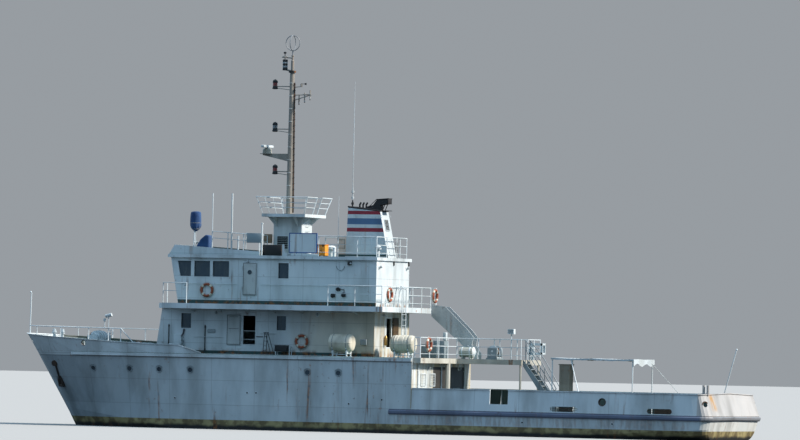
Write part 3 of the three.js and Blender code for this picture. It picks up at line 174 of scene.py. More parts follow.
makeCamera()
makeLight()
makeFloor()
print("camera, light and floor")

# Node groups that several finishes share.


def startGroup(name, inputs, outputs):
    group = bpy.data.node_groups.new(name, "ShaderNodeTree")
    group.interface.new_socket(name="Position", in_out="INPUT", socket_type="NodeSocketVector")
    for label, value in inputs.items():
        socket = group.interface.new_socket(name=label, in_out="INPUT", socket_type="NodeSocketFloat")
        socket.default_value = value
    for label in outputs:
        group.interface.new_socket(name=label, in_out="OUTPUT", socket_type="NodeSocketFloat")
    given = group.nodes.new("NodeGroupInput").outputs
    shade.update(tree=group, place=given["Position"])
    return given, group.nodes.new("NodeGroupOutput")


def makeWeather():  # rust runs, rust patches and grime, all from the place on the ship
    given, out = startGroup("weather", {"Runs": 0.6, "Patches": 0.4, "Grime": 0.5},
                            ("Rust", "Grime", "Height"))
    where = noise(0.32, 2)
    drips = rising(noise(1.5, 5, 0.6, (2.4, 2.4, 0.14), (3.1, 1.7, 0.4)), 0.56, 0.70)
    runs = times(drips, rising(where, 0.45, 0.62))
    spots = times(rising(noise(3.6, 7, 0.68), 0.60, 0.68), rising(where, 0.40, 0.60))
    dust = rising(noise(1.1, 4, stretch=(0.7, 0.7, 0.18)), 0.38, 0.72)
    rust = most(times(runs, given["Runs"]), times(spots, given["Patches"]))
    give(out, {"Rust": rust, "Grime": times(dust, given["Grime"]), "Height": times(spots, 0.6)})


def makePlating():  # welded seams every few metres, and the slight hollows between frames
    given, out = startGroup("plating", {"Long": 2.4, "Tall": 1.3, "Frames": 0.6}, ("Seam", "Height"))
    part = put("SeparateXYZ", {0: given["Position"]})
    lines = []
    for axis, pitch in ((0, "Long"), (2, "Tall")):
        share = calc("FRACT", calc("DIVIDE", plus(part[axis], 60.0), given[pitch]))
        gap = times(calc("ABSOLUTE", calc("SUBTRACT", share, 0.5)), given[pitch])
        lines.append(falling(calc("SUBTRACT", times(given[pitch], 0.5), gap), 0.0, 0.022))
    seam = most(*lines)
    hollow = times(calc("SINE", times(calc("DIVIDE", part[0], given["Frames"]), 6.2832)), noise(0.5, 2))
    give(out, {"Seam": seam, "Height": plus(times(seam, 0.35), times(hollow, 0.5))})


def makeEdges():  # bare or chipped paint along the edges
    given, out = startGroup("edges", {"Reach": 0.02}, ("Mask",))
    rounded = put("Bevel", {"Radius": given["Reach"]}, samples=4)[0]
    flat = put("VectorMath", {0: rounded, 1: put("NewGeometry")["Normal"]}, operation="DOT_PRODUCT")["Value"]
    give(out, {"Mask": times(falling(flat, 0.75, 0.995), rising(noise(9.0, 4, 0.7), 0.42, 0.60))})


def makeWeave():  # crossed threads and the soft creases of cloth
    given, out = startGroup("weave", {"Threads": 260.0}, ("Height", "Tone"))
    part = put("SeparateXYZ", {0: given["Position"]})
    warp, weft = (calc("SINE", times(part[axis], given["Threads"])) for axis in (0, 1))
    creases = noise(2.6, 5, stretch=(1, 0.5, 1))
    give(out, {"Height": plus(times(warp, weft, 0.12), creases), "Tone": noise(0.9, 4)})


makeWeather()
makePlating()
makeEdges()
makeWeave()


def use(name, feeds):
    return put("Group", {"Position": shade["place"], **feeds}, node_tree=bpy.data.node_groups[name])


# Kinds of material.

rustTone = {"dark": (0.060, 0.022, 0.010), "bright": (0.36, 0.13, 0.035)}


def startMaterial(name):
    made = bpy.data.materials.new(name)
    made.use_nodes = True
    shade["tree"] = made.node_tree
    shade["place"] = put("TexCoord")["Object"]
    return made, made.node_tree.nodes["Principled BSDF"]


def painted(name, spec, zones=None):  # weathered paint over steel, where the zones may repaint bands of it
    made, shader = startMaterial(name)
    part = put("SeparateXYZ", {0: shade["place"]})
    color = blended(rising(noise(0.55, 4), 0.3, 0.7), spec["base"], spec["second"])
    if zones:
        color = zones(color, *part, put("SeparateXYZ", {0: put("NewGeometry")["Normal"]}))
    weather = use("weather", {"Runs": spec["runs"], "Patches": spec["patches"], "Grime": spec["grime"]})
    color = blended(weather["Grime"], color, spec.get("dirt", (0.20, 0.19, 0.16)), "MULTIPLY")
    height, worn = weather["Height"], weather["Rust"]
    if "plates" in spec:
        plating = use("plating", {"Long": spec["plates"][0], "Tall": spec["plates"][1]})
        color = blended(times(plating["Seam"], 0.35), color, (0.10, 0.09, 0.08))
        height = plus(height, plating["Height"])
    if "edge" in spec:
        worn = most(worn, times(use("edges", {"Reach": spec["edge"]})["Mask"], spec.get("edgeAmount", 0.7)))
    if "stain" in spec:  # a rusty stretch in a box of x, y and z with soft ends
        mask = rising(noise(1.8, 5, stretch=(3.0, 3.0, 0.5)), 0.38, 0.62)
        for axis, (low, high, soft) in enumerate(spec["stain"]):
            mask = times(mask, between(part[axis], low, high, soft))
        worn = most(worn, times(mask, 0.35))
    if "footRust" in spec:
        foot = times(falling(part[2], *spec["footRust"]), rising(noise(2.6, 5), 0.42, 0.6))
        worn = most(worn, times(foot, 0.75))
    rust = blended(rising(noise(6.0, 5), 0.35, 0.65), rustTone["dark"], rustTone["bright"])
    color = blended(worn, color, rust)
    rough = plus(plus(times(worn, 0.85 - spec["rough"]), spec["rough"]), times(noise(8, 3), 0.08))
    grain = times(noise(45, 3), 0.12)
    give(shader, {"Base Color": color, "Roughness": rough, "Specular IOR Level": spec.get("gloss", 0.35),
                  "Normal": bumped(plus(height, grain), spec.get("bump", 0.35), 0.02)})
    return made


def glassMaterial(name, tone):
    made, shader = startMaterial(name)
    dust = rising(noise(3.0, 5, stretch=(1, 1, 0.5)), 0.40, 0.75)
    color = blended(times(dust, 0.35), tone, (0.13, 0.15, 0.15))
    give(shader, {"Base Color": color, "Roughness": rising(dust, 0.0, 1.0, 0.06, 0.28),
                  "Specular IOR Level": 0.6, "Normal": bumped(noise(2.0, 2), 0.05, 0.01)})
    return made


def bronzeMaterial():
    made, shader = startMaterial("bronze")
    growth = rising(noise(3.0, 6), 0.45, 0.65)
    color = blended(growth, (0.50, 0.30, 0.10), (0.10, 0.15, 0.09))
    give(shader, {"Base Color": color, "Roughness": rising(growth, 0, 1, 0.30, 0.75),
                  "Metallic": rising(growth, 0, 1, 0.95, 0.15), "Normal": bumped(noise(14.0, 5), 0.3, 0.01)})
    return made


def woodMaterial():
    made, shader = startMaterial("wornWood")
    grain = noise(1.4, 6, stretch=(2, 18, 18))
    give(shader, {"Base Color": blended(grain, (0.30, 0.20, 0.12), (0.14, 0.10, 0.07)), "Roughness": 0.8,
                  "Normal": bumped(grain, 0.4, 0.005)})
    return made


def clothMaterial(name, tone, shadow):
    made, shader = startMaterial(name)
    weave = use("weave", {})
    grime = use("weather", {"Runs": 0.15, "Patches": 0.0, "Grime": 0.5})["Grime"]
    color = blended(rising(weave["Tone"], 0.35, 0.65), tone, shadow)
    color = blended(grime, color, (0.55, 0.52, 0.46), "MULTIPLY")
    give(shader, {"Base Color": color, "Roughness": rising(weave["Tone"], 0.0, 1.0, 0.78, 0.95),
                  "Sheen Weight": 0.25, "Normal": bumped(weave["Height"], 0.5, 0.02)})
    return made


# Zones of other colours on the ship's larger pieces, some of them painted shade, from the place (x, y, z) and
# the way out of the surface.

tones = {
    "deck": (0.085, 0.16, 0.135), "foot": (0.045, 0.09, 0.085), "inside": (0.055, 0.085, 0.078),
    "ochre": (0.50, 0.40, 0.24), "strake": (0.15, 0.175, 0.25), "strakeStern": (0.25, 0.255, 0.27),
    "scum": (0.42, 0.34, 0.16), "scumDark": (0.20, 0.15, 0.07), "bootTop": (0.028, 0.026, 0.024),
    "bottom": (0.105, 0.035, 0.024), "shadow": (0.10, 0.12, 0.13), "aftWallShade": (0.055, 0.05, 0.045),
    "red": (0.34, 0.035, 0.055), "blue": (0.10, 0.19, 0.33), "casing": (0.84, 0.66, 0.55),
    "brownRun": (0.48, 0.25, 0.065), "trunkFootShade": (0.045, 0.05, 0.045), "soot": (0.03, 0.03, 0.032),
    "collar": (0.03, 0.03, 0.03), "screen": (0.02, 0.02, 0.02), "drops": (0.10, 0.07, 0.05),
}
funnelBands = [(10.26, 10.46, "red"), (10.64, 10.95, "blue"), (11.15, 11.33, "red")]


def hullZones(color, x, y, z, out):
    level = plus(z, times(calc("SUBTRACT", noise(1.6, 4, stretch=(1, 1, 0.4)), 0.5), 0.24))
    side = calc("ABSOLUTE", out[1])
    # painted shade: the hull's sides darker below the deck edge, and darkest towards the bow
    paintedSideShade = blended(rising(x, 4.0, 17.5), (0.86, 0.87, 0.87), (0.58, 0.60, 0.62))
    color = blended(times(rising(side, 0.3, 0.7), falling(z, 3.60, 3.64)), color, paintedSideShade, "MULTIPLY")
    streak = rising(noise(1.1, 5, stretch=(3.0, 3.0, 0.2)), 0.35, 0.65)
    wall = between(x, -3.84, -3.76)
    # ochre streaks on the raised hull's after wall, partly rust and partly painted shade
    color = blended(times(wall, between(z, 1.3, 3.7), streak), color, tones["ochre"])
    # painted shade: a near-black patch across the raised hull's after wall, under and beside the platform
    color = blended(times(wall, between(z, 1.34, 3.42), between(y, -3.4, 1.2)), color, tones["aftWallShade"])
    under = times(between(z, 3.60, 3.635, 0.006), rising(side, 0.2, 0.4), 0.75)
    color = blended(under, color, tones["shadow"])
    stern = falling(x, -19.3, -19.2)
    color = blended(stern, color, (1.0, 0.93, 0.86), "MULTIPLY")
    strake = times(between(z, 0.986, 1.245, 0.006), falling(x, -2.60, -2.58))
    color = blended(strake, color, blended(stern, tones["strake"], tones["strakeStern"]))
    scum = blended(rising(noise(2.2, 5), 0.4, 0.6), tones["scum"], tones["scumDark"])
    color = blended(falling(z, 0.47, 0.50), color, scum)
    color = blended(falling(level, 0.12, 0.30), color, tones["bootTop"])
    color = blended(falling(level, -0.10, 0.02), color, tones["bottom"])
    return blended(times(rising(out[2], 0.80, 0.95), rising(z, 1.2, 1.24)), color, tones["deck"])


def deckTopZones(color, x, y, z, out):
    return blended(rising(out[2], 0.70, 0.95), color, tones["deck"])


def footZone(color, z, out, foot):  # the walls' dark green foot along the side decks
    mask = times(falling(z, foot, foot + 0.01), rising(calc("ABSOLUTE", out[1]), 0.5, 0.6))
    return blended(mask, color, tones["foot"])


def upperHouseZones(color, x, y, z, out):
    return footZone(color, z, out, 6.61)


def lowerHouseZones(color, x, y, z, out):  # the after wall is stained with rust and smoke, over an even ochre tint that is painted shade
    reach = plus(x, times(noise(1.2, 4, stretch=(1, 1, 0.4)), 3.0))
    smoke = times(falling(reach, 2.6, 6.4), rising(calc("ABSOLUTE", out[1]), 0.5, 0.6))
    color = footZone(blended(smoke, color, (0.96, 0.83, 0.69), "MULTIPLY"), z, out, 4.02)
    streak = rising(noise(1.2, 5, stretch=(2.5, 2.5, 0.25)), 0.40, 0.62)
    # rust streaks on the after wall, over an even ochre tint that stands in as painted shade
    return blended(times(falling(x, -1.0, -0.98), plus(times(streak, 0.6), 0.2)), color, tones["ochre"])


def sternZones(color, x, y, z, out):  # inner faces in dark green painted shade, and a yellow-brown run down the transom
    inStern = times(out[0], falling(x, -19.0, -18.9))
    inner = most(rising(times(out[1], y, -1.0), 0.6, 0.9), rising(inStern, 0.5, 0.6))
    low = most(falling(z, 2.28, 2.32), rising(z, 3.5, 3.6))
    fore = most(falling(z, 8.0, 8.1), rising(x, 5.2, 5.3))
    # painted shade on the inner faces of the bulwarks and the wheelhouse parapet
    color = blended(times(inner, times(low, fore)), color, tones["inside"])
    transom = falling(x, -19.1, -19.0)
    run = rising(noise(1.5, 5, stretch=(1, 4.5, 0.7)), 0.30, 0.60)
    run = times(between(y, 2.55, 3.30, 0.22), between(z, 1.55, 2.30, 0.16), run, transom)
    return blended(run, blended(transom, color, (0.70, 0.62, 0.58), "MULTIPLY"), tones["brownRun"])


def trunkZones(color, x, y, z, out):
    # painted shade: a near-black band at the trunk's foot, seen through the freeing ports
    return blended(falling(z, 1.63, 1.65), color, tones["trunkFootShade"])


def funnelZones(color, x, y, z, out):  # coloured bands, a black rim and the beige casing before it
    color = blended(times(rising(x, 1.395, 1.40), falling(z, 10.07, 10.09)), color, tones["casing"])
    color = footZone(color, z, out, 9.09)
    sides = most(rising(calc("ABSOLUTE", out[1]), 0.5, 0.6), rising(out[0], 0.5, 0.6))
    for low, high, tone in funnelBands:
        color = blended(times(sides, between(z, low, high, 0.006)), color, tones[tone])
    rim = rising(calc("SUBTRACT", z, plus(times(x, 0.105), 11.36)), -0.02, 0.0)
    return blended(times(rim, falling(z, 11.85, 11.9)), color, tones["soot"])


def mastZones(color, x, y, z, out):
    color = blended(between(z, 18.40, 18.52, 0.01), color, tones["collar"])
    for fore, low, high in ((5.02, 18.54, 19.20), (5.50, 15.38, 15.84)):
        color = blended(times(rising(x, fore, fore + 0.04), between(z, low, high)), color, tones["screen"])
    return blended(times(rising(x, 4.45, 4.42), between(z, 16.7, 17.05)), color, tones["drops"])


# The ship's finishes: how each is made, and the nodes of the ship's solids that have it.

white = {"base": (0.72, 0.76, 0.77), "second": (0.64, 0.69, 0.71), "rough": 0.42, "runs": 0.75,
         "patches": 0.55, "grime": 0.42}


def whiter(**more):
    return {**white, **more}


def coat(base, second, rough, runs, patches, grime, **more):
    return dict(more, base=base, second=second, rough=rough, runs=runs, patches=patches, grime=grime)


hullRust = [(-18.6, -2.6, 0.3), (-5, 5, 0.1), (0.50, 0.98, 0.12)]
coats = {  # each finish: the name of its material, its coat and its zones
    "hull": ("hullPaint", whiter(plates=(2.4, 1.25), edge=0.03, stain=hullRust, bump=0.4), hullZones),
    "house": ("housePaint", whiter(plates=(1.8, 1.15), edge=0.018, footRust=(3.9, 4.25)), lowerHouseZones),
    "upper": ("upperHousePaint", whiter(plates=(1.8, 1.15), edge=0.018, footRust=(6.45, 6.72)),
              upperHouseZones),
    "bulwark": ("bulwarkPaint", whiter(plates=(2.4, 3.0), edge=0.02, runs=0.5, patches=0.3), sternZones),
    "stair": ("stairPaint", whiter(base=(0.60, 0.61, 0.60), second=(0.50, 0.52, 0.52), runs=0.5)),
    "roof": ("roofPaint", whiter(runs=0.9, grime=0.6, edge=0.02), deckTopZones),
    "bridgeDeck": ("bridgeDeckPaint", whiter(runs=0.9, edge=0.02), deckTopZones),
    "platform": ("platformPaint",
                 coat((0.58, 0.56, 0.49), (0.48, 0.45, 0.38), 0.42, 0.9, 0.8, 0.42, edge=0.02), deckTopZones),
    "funnel": ("funnelPaint", whiter(runs=0.5, patches=0.25, edge=0.015), funnelZones),
    "mast": ("mastPaint",
             coat((0.42, 0.37, 0.31), (0.33, 0.29, 0.25), 0.42, 0.9, 0.6, 0.42, edge=0.01), mastZones),
    "rail": ("railPaint", whiter(patches=0.75, runs=0.3, bump=0.2)),
    "trim": ("trimPaint", whiter(runs=0.3, patches=0.4, bump=0.2)),
    "grey": ("greyPaint", coat((0.33, 0.38, 0.40), (0.26, 0.31, 0.33), 0.5, 0.6, 0.6, 0.4, edge=0.015)),
    "door": ("doorPaint", coat((0.60, 0.62, 0.61), (0.52, 0.54, 0.53), 0.45, 0.6, 0.5, 0.45, edge=0.012)),
    "brownDoor": ("brownDoorPaint",
                  coat((0.12, 0.075, 0.03), (0.085, 0.05, 0.02), 0.5, 0.4, 0.4, 0.4, edge=0.012)),
    "black": ("blackPaint", coat((0.022, 0.022, 0.024), (0.035, 0.034, 0.034), 0.6, 0.5, 0.5, 0.3,
                                 edge=0.012, edgeAmount=0.5)),
    "rusty": ("rustySteel", coat((0.05, 0.042, 0.038), (0.09, 0.05, 0.03), 0.7, 0.9, 0.9, 0.3, edge=0.015)),
    "orange": ("orangePaint",
               coat((0.90, 0.34, 0.04), (0.74, 0.26, 0.035), 0.45, 0.3, 0.2, 0.4, dirt=(0.3, 0.25, 0.2))),
    "ringRed": ("ringOrange",
                coat((0.40, 0.10, 0.045), (0.28, 0.07, 0.035), 0.55, 0.1, 0.1, 0.4, dirt=(0.35, 0.28, 0.24))),
    "blue": ("bluePaint", coat((0.035, 0.13, 0.36), (0.03, 0.10, 0.28), 0.4, 0.2, 0.2, 0.3)),
    "buff": ("buffPaint",
             coat((0.36, 0.31, 0.24), (0.28, 0.24, 0.19), 0.6, 0.6, 0.6, 0.4, edge=0.015), trunkZones),
    "cream": ("creamShell", coat((0.76, 0.70, 0.58), (0.64, 0.58, 0.46), 0.35, 0.25, 0.3, 0.8, gloss=0.5)),
    "steel": ("dullSteel", coat((0.34, 0.35, 0.36), (0.24, 0.25, 0.26), 0.4, 0.4, 0.4, 0.3)),
    "rubber": ("blackRubber", coat((0.018, 0.018, 0.019), (0.026, 0.026, 0.027), 0.75, 0.0, 0.0, 0.2)),
}
paints = {finish: painted(*row) for finish, row in coats.items()}
paints.update({
    "wood": woodMaterial(),
    "bronze": bronzeMaterial(),
    "glass": glassMaterial("windowGlass", (0.030, 0.045, 0.060)),
    "redLens": glassMaterial("redLens", (0.35, 0.012, 0.010)),
    "clearLens": glassMaterial("clearLens", (0.30, 0.32, 0.33)),
    "canvas": clothMaterial("awningCanvas", (0.56, 0.60, 0.62), (0.44, 0.48, 0.50)),
    "blueCover": clothMaterial("blueCanvas", (0.020, 0.075, 0.21), (0.012, 0.045, 0.14)),
    "strap": clothMaterial("lashingStrap", (0.34, 0.34, 0.32), (0.24, 0.24, 0.22)),
    "hose": clothMaterial("hoseFabric", (0.15, 0.12, 0.14), (0.09, 0.08, 0.09)),
    "rope": clothMaterial("ropeFibre", (0.50, 0.46, 0.36), (0.36, 0.33, 0.26)),
})
nodeFinish = {
    "hull": "hull", "house": "house_lower", "upper": "house_upper",
    "roof": "roof_deck mast_house", "bridgeDeck": "bridge_deck", "platform": "work_platform",
    "bulwark": "bow_bulwark aft_bulwark gate_bulwark wheelhouse_parapet name_board",
    "funnel": "funnel", "mast": "mast", "stair": "stair_upper", "grey": "stair_aft winch_frame",
    "steel": "loop_antenna", "brownDoor": "door_lower_aft", "rusty": "anchor_port anchor_starboard",
    "trim": "fore_hatch_coaming fore_hatch_lid windlass_frame windlass_drum winch_drum radar_scanner",
    "rail": " ".join(n for n in nodes if n.startswith("rail_")) + " bow_rail ladder flagstaff awning_frame",
    "door": "door_lower_port door_lower_starboard door_bridge_port door_bridge_starboard",
    "cream": "raft_port raft_aft radar_pedestal", "black": "exhaust_cowl rudder", "bronze": "propeller",
    "glass": "glass_upper glass_lower", "orange": "roof_locker", "canvas": "awning_cloth",
    "ringRed": "life_ring_lower life_ring_upper", "buff": "after_trunk", "blueCover": "compass_and_lamp",
}
for finish, names in nodeFinish.items():
    for name in names.split():
        nodes[name].data.materials.clear()
        nodes[name].data.materials.append(paints[finish])
print("materials")

# Shapes: each helper adds to the solid in hand, which then becomes one piece.

solid = bmesh.new()
both = (1, -1)
alongX = Matrix.Rotation(pi / 2, 4, "Y")
alongY = Matrix.Rotation(-pi / 2, 4, "X")
upright = Matrix.Rotation(pi / 2, 4, "X")
levels = {"raisedDeck": 3.8603, "afterDeck": 1.2503, "roof": 8.935, "lowerWall": 2.45, "upperWall": 2.30}


def at(x, y, z):
    return Matrix.Translation((x, y, z))


def about(axis, angle):
    return Matrix.Rotation(angle, 4, axis)


def joined(part, where=None, paint=0):
    for face in part.faces:
        face.material_index = paint
    if where is not None:
        spot = where if isinstance(where, Matrix) else at(*where)
        bmesh.ops.transform(part, matrix=spot, verts=part.verts)
    bmesh.ops.recalc_face_normals(part, faces=part.faces)
    spare = bpy.data.meshes.new("spare")
    part.to_mesh(spare)
    part.free()
    solid.from_mesh(spare)
    bpy.data.meshes.remove(spare)


def rounded(part, geom, offset, segments=2, affect="EDGES"):
    bmesh.ops.bevel(part, geom=geom, offset=offset, segments=segments, affect=affect, profile=0.5,
                    material=-1)


def turned(part, geom, steps, angle=2 * pi):
    bmesh.ops.spin(part, geom=geom, cent=(0, 0, 0), axis=(0, 0, 1), angle=angle, steps=steps,
                   use_merge=angle > 6.28, use_duplicate=False)


def extruded(part, by):
    geom = part.faces[:] + part.edges[:] + part.verts[:]
    made = bmesh.ops.extrude_face_region(part, geom=geom, use_keep_orig=True)["geom"]
    bmesh.ops.translate(part, vec=by, verts=[g for g in made if isinstance(g, bmesh.types.BMVert)])


def box(middle, size, soft=0.01, paint=0, where=None):
    part = bmesh.new()
    bmesh.ops.create_cube(part, size=1.0, matrix=at(*middle) @ Matrix.Diagonal((*size, 1)))
    rounded(part, part.edges[:], min(soft, 0.4 * min(size)))
    joined(part, where, paint)


def bar(a, b, radius, sides=8, paint=0, where=None, end=None):
    a, b = Vector(a), Vector(b)
    turn = (b - a).to_track_quat("Z", "Y").to_matrix().to_4x4()
    part = bmesh.new()
    bmesh.ops.create_cone(part, cap_ends=True, segments=sides, radius1=radius, radius2=end or radius,
                          depth=(b - a).length, matrix=Matrix.Translation((a + b) / 2) @ turn)
    joined(part, where, paint)


def post(x, y, low, high, radius, sides=8, paint=0):
    bar((x, y, low), (x, y, high), radius, sides, paint)


def path(points, radius, sides=6, paint=0, where=None):
    # a round bar along a line of points: one ring, extruded from point to point
    points = [Vector(p) for p in points]
    last = len(points) - 1
    aims = [(points[min(i + 1, last)] - points[max(i - 1, 0)]).normalized() for i in range(last + 1)]
    turn = aims[0].to_track_quat("Z", "Y")
    part = bmesh.new()
    spot = Matrix.Translation(points[0]) @ turn.to_matrix().to_4x4()
    bmesh.ops.create_circle(part, cap_ends=False, segments=sides, radius=radius, matrix=spot)
    loop = part.edges[:]
    for i in range(1, last + 1):
        made = bmesh.ops.extrude_edge_only(part, edges=loop)["geom"]
        verts = [g for g in made if isinstance(g, bmesh.types.BMVert)]
        loop = [g for g in made if isinstance(g, bmesh.types.BMEdge) and all(v in verts for v in g.verts)]
        turn = aims[i - 1].rotation_difference(aims[i]) @ turn
        following = Matrix.Translation(points[i]) @ turn.to_matrix().to_4x4()
        bmesh.ops.transform(part, matrix=following @ spot.inverted(), verts=verts)
        spot = following
    bmesh.ops.holes_fill(part, edges=part.edges[:], sides=sides + 1)
    joined(part, where, paint)


def spun(profile, where=None, steps=24, paint=0):
    # a profile of (radius, height) points turned round Z, which closes at the axis or on itself
    part = bmesh.new()
    verts = [part.verts.new((r, 0, h)) for r, h in profile]
    edges = [part.edges.new(pair) for pair in zip(verts, verts[1:])]
    turned(part, verts + edges, steps)
    bmesh.ops.remove_doubles(part, verts=part.verts, dist=1e-5)
    joined(part, where, paint)


def torus(radius, tube, where=None, steps=28, sides=8, paint=0, start=0.0, angle=2 * pi):
    part = bmesh.new()
    spot = about("Z", start) @ at(radius, 0, 0) @ upright
    bmesh.ops.create_circle(part, cap_ends=False, segments=sides, radius=tube, matrix=spot)
    turned(part, part.verts[:] + part.edges[:], steps, angle)
    if angle < 6.28:
        bmesh.ops.holes_fill(part, edges=part.edges[:], sides=sides + 1)
    joined(part, where, paint)


def flatShape(outline, corner=0.0):
    part = bmesh.new()
    part.faces.new([part.verts.new((x, y, 0)) for x, y in outline])
    if corner:
        rounded(part, part.verts[:], corner, 4, "VERTICES")
    return part


def ring(outline, band, depth, where=None, corner=0.04, paint=0, lift=0.0):
    # a flat frame with rounded corners, raised off its wall, where the outline is its outer edge
    part = flatShape(outline, corner)
    rim = bmesh.ops.inset_region(part, faces=part.faces[:], thickness=band, use_boundary=True,
                                 use_even_offset=True)
    bmesh.ops.delete(part, geom=[f for f in part.faces if f not in rim["faces"]], context="FACES")
    extruded(part, (0, 0, depth))
    bmesh.ops.translate(part, vec=(0, 0, lift), verts=part.verts)
    joined(part, where, paint)


def plate(outline, depth, where=None, corner=0.0, paint=0, lift=0.0, soft=0.0):
    part = flatShape(outline, corner)
    extruded(part, (0, 0, depth))
    bmesh.ops.recalc_face_normals(part, faces=part.faces)
    if soft:
        sharp = [e for e in part.edges if len(e.link_faces) == 2 and e.calc_face_angle() > 0.9]
        rounded(part, sharp, soft)
    bmesh.ops.translate(part, vec=(0, 0, lift), verts=part.verts)
    joined(part, where, paint)


def rectangle(wide, tall, x=0.0, y=0.0):
    return [(x + a * wide / 2, y + b * tall / 2) for a, b in ((-1, -1), (1, -1), (1, 1), (-1, 1))]


def onWall(point, out):
    # a thing on a wall has x to the right, y up and z outwards, as seen from outside
    out = Vector(out).normalized()
    right = Vector((0, 0, 1)).cross(out).normalized()
    turn = Matrix((right, out.cross(right), out)).transposed().to_4x4()
    return Matrix.Translation(point) @ turn


def ray(name, start, aim):
    # whether a line meets the node, where, and the way out of it there
    return nodes[name].ray_cast(Vector(start), Vector(aim))[:3]


def onHull(x, z, side):
    return onWall(*ray("hull", (x, side * 9, z), (0, -side, 0))[1:])


def piece(name, skins, body="vessel", smooth=35, replaced=()):
    mesh = bpy.data.meshes.new(name)
    solid.to_mesh(mesh)
    solid.clear()
    mesh.polygons.foreach_set("use_smooth", [True] * len(mesh.polygons))
    mesh.set_sharp_from_angle(angle=radians(smooth))
    for skin in skins.split():
        mesh.materials.append(paints[skin])
    made = shown(name, mesh)
    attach(made, body)
    if replaced:
        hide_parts(*replaced)
    return made


# Windows: frames and seals, drip bars over the side ones and wipers on the wheelhouse front.

windows = {
    "side": [(2.45, 9.10, 9.65, 5.15, 5.91), (2.45, 3.83, 4.34, 5.12, 5.85), (2.30, 8.17, 9.05, 7.81, 8.62),
             (2.30, 7.11, 8.02, 7.81, 8.62), (2.30, 3.81, 4.38, 7.78, 8.57)],
    "wing": [(9.23, 7.82), (9.985, 7.82), (10.135, 8.61), (9.23, 8.61)], "wingGrow": 1.09,
    "front": [
        {"foot": (9.92, 6.42), "lean": 0.1864, "z": (7.82, 8.61), "wide": 0.72,
         "at": (-1.72, -0.86, 0, 0.86, 1.72)},
        {"foot": (11.07, 3.86), "lean": -0.1504, "z": (5.15, 5.85), "wide": 0.56,
         "at": (-1.4, 0, 1.4)}],
    "band": 0.038, "deep": 0.010, "corner": 0.05, "gutter": 0.014, "wipers": (8.66, (-0.86, 0, 0.86)),
}


def window(wide, tall, where, outline=None):
    band, corner = windows["band"], windows["corner"]
    grown = 2 * band - 0.004
    rim = outline or rectangle(wide + grown, tall + grown)
    ring(rim, band, windows["deep"] + 0.004, where, corner, 0, -0.004)
    seal = outline or rectangle(wide + 0.012, tall + 0.012)
    ring(seal, 0.016 + (band if outline else 0), 0.012, where, corner * 0.7, 1, -0.045)


def bothWays(line):
    return [(-x, y, z) for x, y, z in line] + line[::-1]


def dripBar(wide, tall, ends, crown, radius, where):
    # a bent bar over an opening: how far out, how far up and how proud its ends and its crown are
    line = [(wide / 2 + out, tall / 2 + up, proud) for out, up, proud in (ends, crown)]
    path(bothWays(line), radius, where=where)


def onFront(spec, y, z):
    x = spec["foot"][0] + spec["lean"] * (z - spec["foot"][1])
    return onWall((x, y, z), (1, 0, -spec["lean"]))


for side in both:
    for half, aft, fore, low, high in windows["side"]:
        where = onWall(((aft + fore) / 2, side * half, (low + high) / 2), (0, side, 0))
        window(fore - aft, high - low, where)
        dripBar(fore - aft, high - low, (0.09, 0.055, 0.002), (0.05, 0.085, 0.004), windows["gutter"], where)
    line = [(-side * x, z) for x, z in windows["wing"]]
    midX, midZ = (sum(p[axis] for p in line) / 4 for axis in (0, 1))
    grow = windows["wingGrow"]
    line = [(midX + (x - midX) * grow, midZ + (z - midZ) * grow) for x, z in line]
    window(0, 0, onWall((0, side * levels["upperWall"], 0), (0, side, 0)), line)
for spec in windows["front"]:
    low, high = spec["z"]
    for y in spec["at"]:
        window(spec["wide"], (high - low) * hypot(1, spec["lean"]), onFront(spec, y, (low + high) / 2))
piece("windowFrames", "trim rubber")
for y in windows["wipers"][1]:
    where = onFront(windows["front"][0], y, windows["wipers"][0])
    box((0, 0, 0.03), (0.12, 0.07, 0.07), 0.01, 0, where)
    path([(0, -0.02, 0.06), (0.08, -0.25, 0.05), (0.13, -0.42, 0.03)], 0.009, where=where)
    box((0.13, -0.42, 0.018), (0.02, 0.46, 0.02), 0.004, 0, where)
piece("windowWipers", "black")
print("windows")

# Portholes with their bolts and brows.

porthole = {"x": [14.18, 11.93, 10.19, 8.41, 1.89, 0.20], "z": 3.0, "radius": 0.135, "bolts": 8}

r = porthole["radius"]
rimLine = [(-0.012, -0.05), (-0.012, 0.020), (0.006, 0.032), (0.030, 0.032), (0.040, 0.02), (0.040, -0.05)]
rimLine = [(r + out, up) for out, up in rimLine]
paneLine = [(0, 0.014), (r * 0.6, 0.014), (r - 0.004, 0.014), (r - 0.004, -0.05)]
browTurns = [radians(25 + 13 * i) for i in range(11)]
for side in both:
    for x in porthole["x"]:
        where = onHull(x, porthole["z"], side)
        spun(rimLine, where, 28)
        spun(paneLine, where, 28, 1)
        for i in range(porthole["bolts"]):
            a = i * pi / 4 + 0.39
            spot = (cos(a) * (r + 0.018), sin(a) * (r + 0.018))
            bar((*spot, 0.02), (*spot, 0.040), 0.008, 6, 0, where, 0.006)
        path([(cos(a) * (r + 0.075), sin(a) * (r + 0.075), 0.012) for a in browTurns], 0.013, where=where)
piece("portholes", "grey glass")
print("portholes")

# Doors: clips, handles and lights on the leaves, and frames on the walls.

doorLeaf = {"from": 0.04, "to": 0.795, "half": 0.025, "proud": 0.010, "frame": 0.008}
clips = [(0.14, 0.52), (0.14, 0.0), (0.14, -0.52), (0.70, 0.52), (0.70, -0.52), (0.42, 0.71), (0.42, -0.71)]
leafHandle = [(-0.16, 0.002), (-0.15, 0.008), (0.05, 0.008), (0.06, 0.002)]
